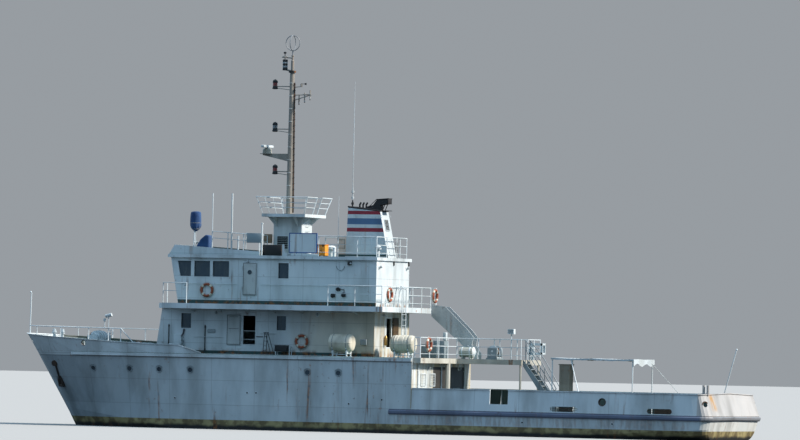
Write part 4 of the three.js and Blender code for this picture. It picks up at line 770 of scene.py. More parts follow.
# each door's name, hinge, way along the leaf, height, doorway, wall, and whether it has a round light
doors = [
    ("door_lower_port", (6.285, 2.495), (1, 0, 0), (4.33, 5.88), (5.53, 6.21), 2.45, False),
    ("door_lower_starboard", (6.285, -2.495), (-1, 0, 0), (4.33, 5.88), (5.53, 6.21), -2.45, False),
    ("door_bridge_port", (6.35, 2.345), (-1, 0, 0), (6.89, 8.56), (5.60, 6.28), 2.30, True),
    ("door_bridge_starboard", (6.35, -2.345), (-1, 0, 0), (6.89, 8.56), (5.60, 6.28), -2.30, True),
    ("door_lower_aft", (-1.065, 0), (0, -1, 0), (4.33, 5.88), (0.075, 0.755), 0, False),
]


def leafFace(face, tall, hasLight):
    mid, wide = (doorLeaf["from"] + doorLeaf["to"]) / 2, doorLeaf["to"] - doorLeaf["from"]
    ring(rectangle(wide - 0.15, tall - 0.14, mid), 0.03, doorLeaf["proud"] * 0.7, face, 0.07)
    ring(rectangle(wide - 0.03, tall - 0.03, mid), 0.022, 0.003, face, 0.02, 3)
    for s, z in clips:
        spun([(0, 0.010), (0.022, 0.010), (0.026, 0.0), (0.026, -0.003)], face @ at(s, z, 0), 12)
        reach = 0.09 if abs(z) < 0.6 else 0.07
        box((s + copysign(reach / 2, 0.4 - s), z - 0.02, 0.005), (reach, 0.022, 0.008), 0.003, 0, face)
    path([(0.60, y, proud) for y, proud in leafHandle], 0.005, 6, 2, face)
    if hasLight:
        port = face @ at(mid, 0.34, 0)
        plate(rectangle(0.40, 0.60), 0.006, port, 0.04, 0, -0.001)
        spun([(0.12, 0.004), (0.12, 0.016), (0.15, 0.016), (0.155, 0.010), (0.155, 0.004)], port, 28)
        spun([(0, 0.009), (0.07, 0.009), (0.121, 0.009), (0.121, 0.004)], port, 28, 1)
    else:
        ring(rectangle(0.60, 0.62, mid, 0.36), 0.018, 0.004, face, 0.03, 3)


for name, hinge, along, (low, high), gap, wallY, hasLight in doors:
    along = Vector(along)
    turn = Matrix((along, (0, 0, 1), along.cross((0, 0, 1)))).transposed().to_4x4()
    place = at(*hinge, (low + high) / 2) @ turn
    for way in both:
        face = at(0, 0, way * doorLeaf["half"]) @ Matrix.Diagonal((1, 1, way, 1))
        leafFace(place @ face, high - low, hasLight)
    skins = ("door" if wallY else "brownDoor") + " glass steel rubber"
    piece(name + "_fittings", skins, name)
for name, hinge, along, (low, high), gap, wallY, hasLight in doors:
    wide, tall = gap[1] - gap[0], high - low - 0.08
    centre, middle = sum(gap) / 2, (low + high) / 2
    where = onWall((-1.02, centre, middle), (-1, 0, 0))
    if wallY:
        where = onWall((centre, wallY, middle), (0, wallY, 0))
    ring(rectangle(wide + 0.12, tall + 0.12), 0.055, doorLeaf["frame"] + 0.003, where, 0.09, 0, -0.003)
    dripBar(wide, tall, (0.14, 0.10, 0.004), (0.08, 0.15, 0.01), 0.016, where)
piece("doorFrames", "trim")
print("doors")

# Ring buoys with bands, a line and hooks.

buoy = {"radius": 0.30, "tube": 0.066, "bandTube": 0.0695, "bandAngle": 0.42, "lineOut": 0.082, "line": 0.007}
buoys = [  # name, place, way out, size of the tube, and the node it replaces
    ("ringBuoyLower", (2.93, 2.5163, 4.57), (0, 1, 0), 1.0, ["life_ring_lower"]),
    ("ringBuoyUpper", (8.3, 2.3663, 7.12), (0, 1, 0), 1.0, ["life_ring_upper"]),
    ("ringBuoyBridgeAft", (-2.016, 2.9, 7.03), (-1, 0, 0), 1.05, []),
    ("ringBuoyDeckAft", (-4.246, 3.0, 4.54), (-1, 0, 0), 1.05, []),
    ("ringBuoyStairHead", (-2.05, -3.42, 7.06), (-1, 0, 0), 1.0, []),
]
lineSteps = 12
hook = [(-0.24, -0.062), (-0.375, -0.05), (-0.385, 0.03), (-0.34, 0.075)]

for name, point, out, grow, replaced in buoys:
    where = onWall(point, out)
    torus(buoy["radius"], buoy["tube"] * grow, where, 48, 16)
    for i in range(4):
        start = pi / 4 + i * pi / 2 - buoy["bandAngle"] / 2
        torus(buoy["radius"], buoy["bandTube"] * grow, where, 6, 16, 1, start, buoy["bandAngle"])
        line = []
        for step in range(lineSteps + 1):
            share = step / lineSteps
            a = pi / 4 + (i + share) * pi / 2
            r = buoy["radius"] + buoy["lineOut"] * grow - 0.012 + 0.035 * sin(pi * share)
            line.append((r * cos(a), r * sin(a), 0.0))
        path(line, buoy["line"], 6, 2, where)
    if replaced:  # the two hooks that it hangs in
        for x in (-0.16, 0.16):
            path([(x, *point) for point in hook], 0.010, 6, 3, where)
    piece(name, "ringRed cream rope trim", replaced=replaced)
print("ring buoys")

# Liferaft canisters with straps, on cradles with legs and horns.

canister = {
    "radius": 0.452, "half": 0.645, "z": 4.545, "straps": (-0.38, 0.38),
    "profile": [(0, 0.645), (0.22, 0.641), (0.34, 0.622), (0.405, 0.584), (0.438, 0.524),
                (0.452, 0.44), (0.452, 0.335), (0.442, 0.325), (0.442, 0.285), (0.452, 0.275),
                (0.452, 0.175), (0.442, 0.165), (0.442, 0.125), (0.452, 0.115)],
}
canisters = [("raftCanisterPort", 0.355, 3.42, "raft_port"), ("raftCanisterAft", -2.44, 1.95, "raft_aft")]

line = canister["profile"] + [(r, -h) for r, h in reversed(canister["profile"])]
r, z, deck = canister["radius"], canister["z"], levels["raisedDeck"]
for name, x, y, node in canisters:
    where = at(x, y, z) @ alongX
    spun(line, where, 48)
    plate(rectangle(2 * canister["half"] - 0.02, 2 * r + 0.034), 0.030, (x, y, z - 0.015), 0.16, 0, 0, 0.006)
    for strap in canister["straps"]:
        band = [(-0.01, -0.022), (0.006, -0.022), (0.006, 0.022), (-0.01, 0.022), (-0.01, -0.022)]
        spun([(r + out, strap + along) for out, along in band], where, 48, 1)
        box((x + strap, y + 0.33, z - 0.34), (0.06, 0.05, 0.09), 0.01, 2)
        box((x + strap, y, deck + 0.21), (0.08, 0.66, 0.16), 0.012, 3)
        for side in both:
            legY = y + side * 0.28
            post(x + strap, legY, deck, deck + 0.22, 0.03, 10, 3)
            spun([(0, 0.02), (0.07, 0.02), (0.07, 0), (0, 0)], (x + strap, legY, deck), 16, 3)
            hornFoot, hornTip = y + side * 0.20, y + side * 0.40
            bar((x + strap, hornFoot, deck + 0.25), (x + strap, hornTip, deck + 0.42), 0.026, 10, 3)
    for side in both:
        bar((x - 0.42, y + side * 0.28, deck + 0.10), (x + 0.42, y + side * 0.28, deck + 0.10), 0.018, 8, 3)
    piece(name, "cream strap steel trim", replaced=[node])
print("liferafts")

# The awning: one sheet over its frame, with loose flaps at the after end.

awning = {
    "fore": -10.31, "aft": -14.75, "half": 1.55, "top": 4.012, "hem": 0.08, "flap": 0.36, "steps": (110, 84),
    "sag": 0.075, "beams": [-10.37, -12.53, -14.69], "thick": 0.004, "ties": 9, "tiePitch": 0.54,
}


def awningPoint(s, t):
    # where a point of the flat cloth lies: s metres from its fore edge, t metres from its middle
    a = awning
    long = a["fore"] - a["aft"]
    side = min(abs(t), a["half"])
    share = side / a["half"]
    x, y, z = a["fore"] - min(max(s - a["hem"], 0), long), copysign(side, t), a["top"]
    for fore, aft in zip(a["beams"], a["beams"][1:]):
        if aft <= x <= fore:
            z -= a["sag"] * sin(pi * (fore - x) / (fore - aft)) * (0.35 + 0.65 * cos(share * pi / 2))
    z += 0.010 * sin(9 * x + 2 * t) * (1 - share) + 0.004 * sin(31 * x) * side / a["half"]
    over = abs(t) - side
    if over > 0:  # the hem hangs in small scallops between its ties
        y += copysign(0.006 + 0.014 * sin(x * 11), t)
        z -= over * (0.75 + 0.35 * abs(sin(x * 4.3)))
    past = max(s - a["hem"] - long, 0)
    if past > 0:
        z -= past * (0.62 + 0.38 * sin(t * 2.3 + 0.8) ** 2)
        x -= 0.010 + 0.05 * past * sin(t * 5.1) ** 2
    before = max(a["hem"] - s, 0)
    if before > 0:
        z -= before * 0.9
        x += 0.008
    return Vector((x, y, z))


def thickened():
    bmesh.ops.recalc_face_normals(solid, faces=solid.faces)
    bmesh.ops.solidify(solid, geom=solid.faces[:], thickness=awning["thick"])


long = awning["fore"] - awning["aft"] + awning["hem"] + awning["flap"]
wide = 2 * (awning["half"] + awning["hem"])
bmesh.ops.create_grid(solid, x_segments=awning["steps"][0], y_segments=awning["steps"][1], size=0.5)
for v in solid.verts:
    v.co = awningPoint((v.co.x + 0.5) * long, v.co.y * wide)
thickened()
cloth = piece("awningCloth", "canvas", smooth=60, replaced=["awning_cloth"])
for side in both:
    for i in range(awning["ties"]):
        x = awning["fore"] - 0.10 - i * awning["tiePitch"]
        torus(0.036, 0.006, at(x, side * (awning["half"] - 0.06), 3.965) @ alongX, 20, 6)
piece("awningTies", "rope")
print("awning")

# The covered searchlight and compass on the wheelhouse top.

topCovers = {
    "x": 9.99, "foot": 8.9403,
    "lamp": [(0, 11.205), (0.14, 11.20), (0.235, 11.17), (0.268, 11.11), (0.282, 10.95), (0.292, 10.70),
             (0.290, 10.48), (0.262, 10.38), (0.190, 10.27), (0.105, 10.20), (0.062, 10.165)],
    "lampFlat": (1.95, 1.35), "lampArea": 2.0,
    "compassHalf": 0.28, "compassFlat": (2.5, 1.9), "compassArea": 2.55,
    "compass": [(9.14, 8.99), (9.86, 8.99), (9.85, 9.36), (9.62, 9.74), (9.34, 10.0), (9.13, 9.95)],
    "cuts": [(0, 9.2, 9.85), (2, 9.05, 9.98), (1, -0.2, 0.2)], "cutPitch": 0.05,
}

x, z = topCovers["x"], topCovers["foot"]
box((9.695, 0, z + 0.03), (0.79, 0.40, 0.06))
for side in both:
    leg = [(x + 0.06, side * 0.11, z + 0.05), (x + 0.045, side * 0.10, 9.6), (x + 0.03, side * 0.055, 10.2)]
    path(leg, 0.028, 10)
    path([(x + 0.055, side * 0.11, 9.1), (x - 0.26, side * 0.14, z + 0.04)], 0.016, 8)
post(x, 0, 10.12, 10.32, 0.05, 16)
for height in (9.25, 9.62):
    bar((x + 0.05, -0.11, height), (x + 0.05, 0.11, height), 0.014)
piece("topGearPoles", "trim")
spun(topCovers["lamp"], None, 64)
for v in solid.verts:  # folds where the canvas is gathered and tied
    a = atan2(v.co.y, v.co.x)
    low = min(max((10.62 - v.co.z) / 0.35, 0), 1)
    gather = (0.012 + 0.10 * low) * sin(9 * a + 2.5 * sin(v.co.z * 5)) * 0.6
    fold = 1 + gather + 0.018 * sin(3 * a + 7 * v.co.z)
    v.co.x, v.co.y = v.co.x * fold + x, v.co.y * fold
thickened()
lamp = piece("searchlightCover", "blueCover", smooth=60, replaced=["compass_and_lamp"])
torus(0.198, 0.009, (x, 0, 10.285), 40)
torus(0.290, 0.008, (x, 0, 10.60), 40)
piece("searchlightCoverTies", "rope")
half = topCovers["compassHalf"]
solid.faces.new([solid.verts.new((x, y, 0)) for x, y in topCovers["compass"]])
extruded(solid, (0, 0, 2 * half))
bmesh.ops.transform(solid, matrix=at(0, half, 0) @ upright, verts=solid.verts)
bmesh.ops.recalc_face_normals(solid, faces=solid.faces)
rounded(solid, solid.edges[:], 0.06, 3)
for axis, cut, high in topCovers["cuts"]:
    while cut < high:
        spot, normal = [0, 0, 0], [0, 0, 0]
        spot[axis], normal[axis] = cut, 1
        geom = solid.verts[:] + solid.edges[:] + solid.faces[:]
        bmesh.ops.bisect_plane(solid, geom=geom, plane_co=spot, plane_no=normal)
        cut += topCovers["cutPitch"]
for v in solid.verts:
    sag = 0.016 * sin(14 * v.co.x + 5 * v.co.z) + 0.012 * sin(17 * v.co.z - 6 * v.co.y)
    v.co.y *= 1 - 0.10 * (v.co.z - 8.99) + sag
    v.co.x += 0.4 * sag
bottom = [f for f in solid.faces if f.normal.z < -0.9 and f.calc_center_median().z < 9.03]
bmesh.ops.delete(solid, geom=bottom, context="FACES")
bmesh.ops.solidify(solid, geom=solid.faces[:], thickness=awning["thick"])
shroud = piece("compassCover", "blueCover", smooth=50)
print("covers")

# Sign board, locker and small gear on the upper roof.

signBoard = {"long": (2.30, 3.81), "tall": (9.11, 10.11), "face": 2.29, "struts": (2.5, 3.6)}
locker = {"x": 2.16, "y": 1.90, "wide": 0.56, "deep": 0.50}
roof = levels["roof"]

low, high = signBoard["long"]
bottom, top = signBoard["tall"]
where = onWall(((low + high) / 2, signBoard["face"], (bottom + top) / 2), (0, 1, 0))
ring(rectangle(high - low + 0.03, top - bottom + 0.03), 0.045, 0.055, where, 0.012, 0, -0.047)
for x in signBoard["struts"]:
    path([(x, 2.25, 9.85), (x, 1.72, 8.96)], 0.02, 8)
    box((x, 1.72, 8.95), (0.10, 0.10, 0.014), 0.003)
piece("signBoardFrame", "blue")

x, y, wide, deep = locker.values()
face = y + deep / 2
box((x, y, 9.245), (wide - 0.02, deep - 0.02, 0.53), 0.02)
box((x, y, 9.545), (wide + 0.03, deep + 0.03, 0.07), 0.022)
for dx in (-0.2, 0.2):
    box((x + dx, y, 8.96), (0.07, deep - 0.05, 0.045), 0.008, 1)
for dx in (-0.15, 0.15):
    box((x + dx, face + 0.008, 9.50), (0.05, 0.02, 0.11), 0.005, 1)
handle = [(-0.10, -0.01), (-0.09, 0.035), (0.09, 0.035), (0.10, -0.01)]
path([(x + dx, face + dy, 9.24) for dx, dy in handle], 0.009, 8, 1)
piece("roofLocker", "orange black", replaced=["roof_locker"])

# upright and coaming by the board, hooded vents, the after post and its foot, and a short post by the locker
upstand = [(3.70, roof), (4.18, roof), (4.18, 9.54), (4.08, 9.54), (4.05, 9.12), (3.70, 9.06)]
plate(upstand, 0.03, at(0, 2.335, 0) @ upright, 0.02)
box((3.05, 2.32, 9.00), (1.7, 0.03, 0.13), 0.008)
for x, y, r, cap in ((4.6, -1.5, 0.11, 0.20), (2.9, -1.2, 0.14, 0.25), (-0.75, 1.45, 0.09, 0.17)):
    hood = [(0, 0.62), (cap * 0.6, 0.61), (cap, 0.54), (cap, 0.42), (cap - 0.03, 0.42), (r, 0.44), (r, 0)]
    hood.append((0, 0))
    spun([(out, roof + up) for out, up in hood], (x, y, 0))
plate([(-1.03, roof), (-0.55, roof), (-0.60, 9.27), (-0.68, 9.27)], 0.05, at(0, -0.75, 0) @ upright, 0.01)
post(-0.62, -1.50, 9.25, 9.78, 0.055, 12, 1)
post(-0.62, -1.50, 8.93, 9.27, 0.03, 10)
post(1.36, 2.20, roof, 9.40, 0.085, 16)
spun([(0, 9.43), (0.06, 9.425), (0.095, 9.40), (0.095, 9.385), (0, 9.385)], (1.36, 2.20, 0), 20)
# brown, dark and grey boxes on the wheelhouse top with their posts, and the whip aerial
box((5.52, 1.0, 9.83), (0.47, 0.03, 0.46), 0.008, 2)
for dx in (-0.2, 0.2):
    post(5.52 + dx, 0.98, 8.94, 10.08, 0.018)
post(6.66, 2.24, 8.94, 9.93, 0.038, 12)
box((4.88, 1.86, 9.22), (1.14, 0.48, 0.56), 0.03, 1)
post(5.36, 2.20, 8.94, 10.55, 0.035, 12)
box((5.36, 2.20, 10.58), (0.09, 0.09, 0.07), 0.012)
box((5.76, 2.31, 9.83), (0.80, 0.02, 0.50), 0.006, 3)
bar((2.00, 0.10, roof), (2.00, 0.10, 12.1), 0.016, end=0.009)
spun([(0.0, 9.02), (0.07, 9.02), (0.07, 8.93), (0, 8.93)], (2.00, 0.10, 0), 16)
piece("roofGear", "trim black wood grey")

# The mast house: louvred windows, pipes, rungs up its after side and brackets under the platform.

mastHouse = {"window": (4.83, 9.64, 0.60, 0.66), "half": 0.70, "rungs": 7, "rungPitch": 0.26,
             "platform": 10.95}


def blades(count, low, pitch, proud, size, where, soft=0.003, paint=0):
    for i in range(count):
        box((0, low + i * pitch, proud), size, soft, paint, where)


x, z, wide, tall = mastHouse["window"]
under = mastHouse["platform"]
for side in both:
    where = onWall((x, side * mastHouse["half"], z), (0, side, 0))
    ring(rectangle(wide + 0.08, tall + 0.08), 0.045, 0.020, where, 0.05)
    plate(rectangle(wide, tall), 0.006, where, 0.04, 1)
    blades(7, -tall / 2 + 0.05, 0.093, 0.012, (wide - 0.02, 0.012, 0.022), where, 0.002)
    for i in range(2):
        pipeX = x - 0.62 + i * 0.12
        path([(pipeX, side * 0.715, 9.0), (pipeX, side * 0.715, 10.93)], 0.014)
for i in range(mastHouse["rungs"]):
    z = 9.22 + i * mastHouse["rungPitch"]
    path([(3.795, -0.20, z), (3.70, -0.20, z), (3.70, 0.20, z), (3.795, 0.20, z)], 0.012)
for x0, x1 in ((5.34, 5.70), (3.79, 3.34)):
    for side in both:
        plate([(x0, under), (x1, under), (x0, 10.55)], 0.02, at(0, side * 0.62, 0) @ upright)
for side in both:
    for x in (4.0, 5.15):
        where = onWall((x, side * mastHouse["half"], 0), (0, side, 0)) @ alongX
        plate([(0, under), (-0.72, under), (0, 10.45)], 0.02, where)
piece("mastHouseFittings", "trim rubber")
print("roof gear")

# The funnel: louvres, plates, rails and small pipes.

funnel = {"slope": 0.2083, "aftX": -0.97, "foot": 8.94, "louvre": (10.62, 0.56, 0.62), "blades": 8}


def onFunnelBack(z):
    return onWall((funnel["aftX"] + funnel["slope"] * (z - funnel["foot"]), 0, z), (-1, 0, funnel["slope"]))


z, wide, tall = funnel["louvre"]
where = onFunnelBack(z)
ring(rectangle(wide, tall), 0.035, 0.03, where, 0.02)
plate(rectangle(wide - 0.06, tall - 0.06), 0.004, where, 0.0, 1)
for i in range(funnel["blades"]):
    up = -tall / 2 + 0.07 + i * (tall - 0.14) / (funnel["blades"] - 1)
    blade = [(-0.012, 0), (0.024, 0.034), (0.020, 0.038), (-0.016, 0.004)]
    plate(blade, wide - 0.07, where @ at(-(wide - 0.07) / 2, up, 0) @ alongX)
where = onFunnelBack(9.49)
ring(rectangle(0.62, 0.86), 0.03, 0.014, where, 0.06)
for s in (-0.27, 0.27):
    for u in (0.26, -0.26):
        box((s, u, 0.014), (0.08, 0.026, 0.022), 0.004, 0, where)
for side in both:  # side doors' plates, lifting rings, a foot band and louvres in the casing
    face = onWall((0.25, side * 0.58, 0), (0, side, 0))
    ring(rectangle(0.60, 0.80, 0, 9.60), 0.028, 0.012, face, 0.06)
    box((0, 8.97, 0.012), (2.30, 0.06, 0.024), 0.004, 0, face)
    casing = onWall((1.65, side * 0.48, 9.62), (0, side, 0))
    ring(rectangle(0.36, 0.50), 0.025, 0.012, casing, 0.02, 3)
    blades(6, -0.18, 0.072, 0.004, (0.31, 0.014, 0.018), casing, paint=3)
    for x in (-0.55, 0.85):
        torus(0.05, 0.011, face @ at(-side * (x - 0.25), 11.05, 0.02), 20)
corners = [(-0.47, -0.58), (1.29, -0.58), (1.29, 0.58), (-0.47, 0.58)]
line = [(x, y, 11.34 + (x + 0.47) * 0.1136 + 0.004) for x, y in corners]
for pair in zip(line, line[1:] + line[:1]):
    path(pair, 0.028, 8, 2)
for x in (0.62, 0.80, 0.98):  # small pipes with caps at the fore edge of the top
    post(x, -0.25, 11.02, 11.68, 0.045, 12, 2)
    bar((x, -0.25, 11.66), (x - 0.07, -0.25, 11.78), 0.05, 12, 2, end=0.045)
for y in (-0.18, 0.18):  # the hood's two after legs and its foot plate
    path([(-0.45, y, 11.36), (-0.60, y, 11.74)], 0.022, 8, 2)
box((-0.58, 0, 11.36), (0.42, 0.62, 0.035), 0.008, 2)
for way in (-1, 1):
    y = way * 0.245
    path([(0.40, way * 0.24, 11.50), (0.20, y, 11.62), (-0.13, y, 11.94), (-0.80, y, 11.99)], 0.018, 8, 2)
box((-0.765, 0, 11.85), (0.05, 0.50, 0.30), 0.01, 2)
piece("funnelFittings", "trim rubber black buff")
print("funnel")

# The mast: lanterns, cable run, steps and insulators.

mast = {
    "x": 4.77, "lamps": [(5.71, 17.70, 0.105, 1), (5.67, 15.50, 0.115, 2), (5.62, 13.31, 0.105, 1)],
    "headLamp": (5.18, 18.55, 19.06, 0.115), "cables": [(11.2, 0.196), (14.0, 0.172), (17.9, 0.136)],
    "clips": 22, "steps": (11.6, 18.2, 0.33), "insulators": [(4.37, 16.85), (4.06, 16.96), (3.76, 17.09)],
}
mastSkins = "black redLens clearLens rusty trim rubber mast"
lampBase = [(0, -0.15), (0.10, -0.145), (0.155, -0.11), (0.150, -0.08), (0.118, -0.03), (0.118, 0.01),
            (0, 0.01)]
lampCap = [(0.10, 0.19), (0.135, 0.195), (0.140, 0.225), (0.118, 0.30), (0.06, 0.345), (0.02, 0.37),
           (0, 0.372)]
rib = [(-0.02, -0.022), (0.006, -0.014), (0.010, 0), (0.006, 0.014), (-0.02, 0.022)]
insulator = [(0, -0.016), (0.032, -0.010), (0.038, 0), (0.022, 0.012), (0, 0.014)]
bracket = [(-0.08, -0.03), (-0.08, 0.13), (0.08, 0.13), (0.08, -0.03)]
headSmall = [(0, 19.08), (0.02, 19.08), (0.02, 19.38), (0.075, 19.41), (0.075, 19.46), (0.03, 19.49),
             (0, 19.49)]
sleeve = [(0, 18.525), (0.085, 18.525), (0.085, 19.03), (0.06, 19.06), (0.035, 19.10), (0.035, 19.22),
          (0.072, 19.25), (0.072, 19.31), (0, 19.32)]

for x, z, r, lens in mast["lamps"]:
    spun(lampBase, (x, 0, z))
    for h in (0.05, 0.09, 0.13, 0.17):
        spun([(r + out, h + up) for out, up in rib], (x, 0, z), 24, lens)
    spun(lampCap, (x, 0, z))
    for i in range(3):
        a = i * 2.094
        post(x + 0.128 * cos(a), 0.128 * sin(a), z - 0.05, z + 0.20, 0.006, 6)
x, low, top, r = mast["headLamp"]
bands = [(low - 0.02, low + 0.10, 0), (low + 0.12, low + 0.22, 2), (low + 0.24, low + 0.32, 0),
         (low + 0.33, low + 0.41, 2), (low + 0.42, top + 0.03, 0)]
for h0, h1, paint in bands:
    band = [(0, h0), (r + 0.012, h0), (r + 0.022, (h0 + h1) / 2), (r + 0.012, h1), (0, h1)]
    spun(band, (x, 0, 0), 24, paint)
spun(headSmall, (x + 0.02, 0, 0), 18)
for y in (-0.045, -0.015, 0.015, 0.045):  # the dark run of cables down the after side, with its clips
    path([(mast["x"] - r - 0.012, y, z) for z, r in mast["cables"]], 0.017, 6, 3 if y > 0 else 5)
for i in range(mast["clips"]):
    z = 11.5 + i * 0.3
    r = 0.196 - 0.0092 * (z - 11.2)
    box((mast["x"] - r - 0.018, 0, z), (0.045, 0.15, 0.035), 0.005)
low, high, pitch = mast["steps"]
for i in range(int((high - low) / pitch) + 1):  # folded steps on both sides by turns
    z = low + i * pitch
    side = 1 if i % 2 else -1
    r = 0.19 - 0.0094 * (z - 11.1)
    path([(mast["x"] + along, side * (r + out), z) for along, out in bracket], 0.010, 6, 4)
for x, z in mast["insulators"]:
    for h in (-0.03, 0.01, 0.05):
        spun([(r, h + up) for r, up in insulator], (x, 0, z), 14, 4)
for z in (16.4, 14.9, 12.9):  # boxes on the mast's sides
    box((mast["x"] - 0.02, -0.19, z), (0.17, 0.13, 0.26), 0.015, 4)
path([(4.29, 0, 17.845), (4.19, 0, 17.84), (4.04, 0, 17.835)], 0.013)  # the vane and its tail
plate([(4.08, 17.80), (3.97, 17.78), (3.97, 17.89), (4.08, 17.87)], 0.008, at(0, 0.004, 0) @ upright, 0.01)
spun(sleeve, (mast["x"], 0, 0), 24, 6)
piece("mastGear", mastSkins)

# The radar: a round housing and the bar of its scanner.

radar = {"x": 6.08, "foot": 14.2303, "reach": 0.65}
housing = [(0, 0.001), (0.235, 0.001), (0.245, 0.02), (0.245, 0.06), (0.232, 0.08), (0.236, 0.17),
           (0.218, 0.23), (0.160, 0.272), (0.075, 0.284), (0.050, 0.284), (0.05, 0.20), (0, 0.20)]

x, z = radar["x"], radar["foot"]
spun([(r, z + h) for r, h in housing], (x, 0, 0), 40)
for i in range(6):
    a = i * pi / 3
    post(x + 0.225 * cos(a), 0.225 * sin(a), z + 0.05, z + 0.075, 0.018, 6)
piece("radarHousing", "cream")
where = at(x, 0, z + 0.365) @ about("Z", pi / 2) @ upright @ at(0, 0, -0.09)
plate(rectangle(2 * radar["reach"], 0.13), 0.18, where, 0.04, 0, 0, 0.025)
spun([(0, 0.325), (0.122, 0.325), (0.128, 0.31), (0.128, 0.296), (0.056, 0.296)], (x, 0, z), 28)
piece("radarScannerBar", "trim", "radar_scanner", replaced=["radar_scanner"])
print("mast")

# Fittings on the walls of the two houses.

wall = {
    "lower": levels["lowerWall"], "upper": levels["upperWall"], "aft": -1.02,
    "railRadius": 0.014, "feet": 1.1,
    "handrail": [(9.9, 6.7, 7.45), (5.3, -0.7, 7.45)], "lowerHandrail": [(8.9, 7.3, 4.72), (5.2, 4.4, 4.95)],
    "lowerRail": [(8.30, 3.98, 5.32), (10.32, 4.25, 5.34)],
    "lowerLamps": [7.70, 2.1], "upperLamps": [6.04, 0.36],
    "hose": [(9.46, 0.06, 5.10), (9.50, 0.08, 4.86), (9.62, 0.10, 4.66), (9.84, 0.12, 4.68),
             (9.95, 0.12, 4.56), (9.95, 0.12, 4.32), (9.86, 0.12, 4.22), (9.70, 0.12, 4.24),
             (9.65, 0.10, 4.50)],
}
extinguisher = [(0, 0.52), (0.03, 0.515), (0.05, 0.47), (0.075, 0.43), (0.075, 0.03), (0.06, 0), (0, 0)]
horn = [(0.03, 0), (0.035, 0.10), (0.05, 0.2), (0.085, 0.28), (0.12, 0.31), (0.11, 0.305), (0.03, 0.15),
        (0.0, 0.15)]
bell = [(0, 0.24), (0.05, 0.235), (0.085, 0.19), (0.10, 0.10), (0.135, 0.0), (0.125, 0.0), (0.09, 0.10),
        (0.07, 0.18), (0, 0.2)]


def bulkheadLamp(where, size=0.13):
    # a round base, a glass dome and its guard
    spun([(0, -0.01), (size * 0.85, -0.01), (size * 0.85, 0.03), (size * 0.6, 0.045), (0, 0.045)], where, 20)
    spun([(0, 0.16), (size * 0.35, 0.15), (size * 0.5, 0.11), (size * 0.52, 0.04), (0, 0.04)], where, 20, 1)
    for turn in (0, pi / 2):
        guard = bothWays([(size * 0.6, 0, 0.04), (size * 0.58, 0, 0.12), (size * 0.3, 0, 0.172)])
        path(guard, 0.006, where=where @ about("Z", turn))


def handrail(a, b, off):
    # a rail along a wall between two points of it, on short feet, where off points out of the wall
    a, b, off = Vector(a), Vector(b), Vector(off)
    line = [a, a + off * 0.8, a.lerp(b, 0.03) + off, a.lerp(b, 0.97) + off, b + off * 0.8, b]
    path(line, wall["railRadius"], 8)
    count = max(int((b - a).length / wall["feet"]), 1)
    for i in range(1, count):
        foot = a.lerp(b, i / count)
        bar(foot, foot + off, wall["railRadius"] * 0.8, 6)


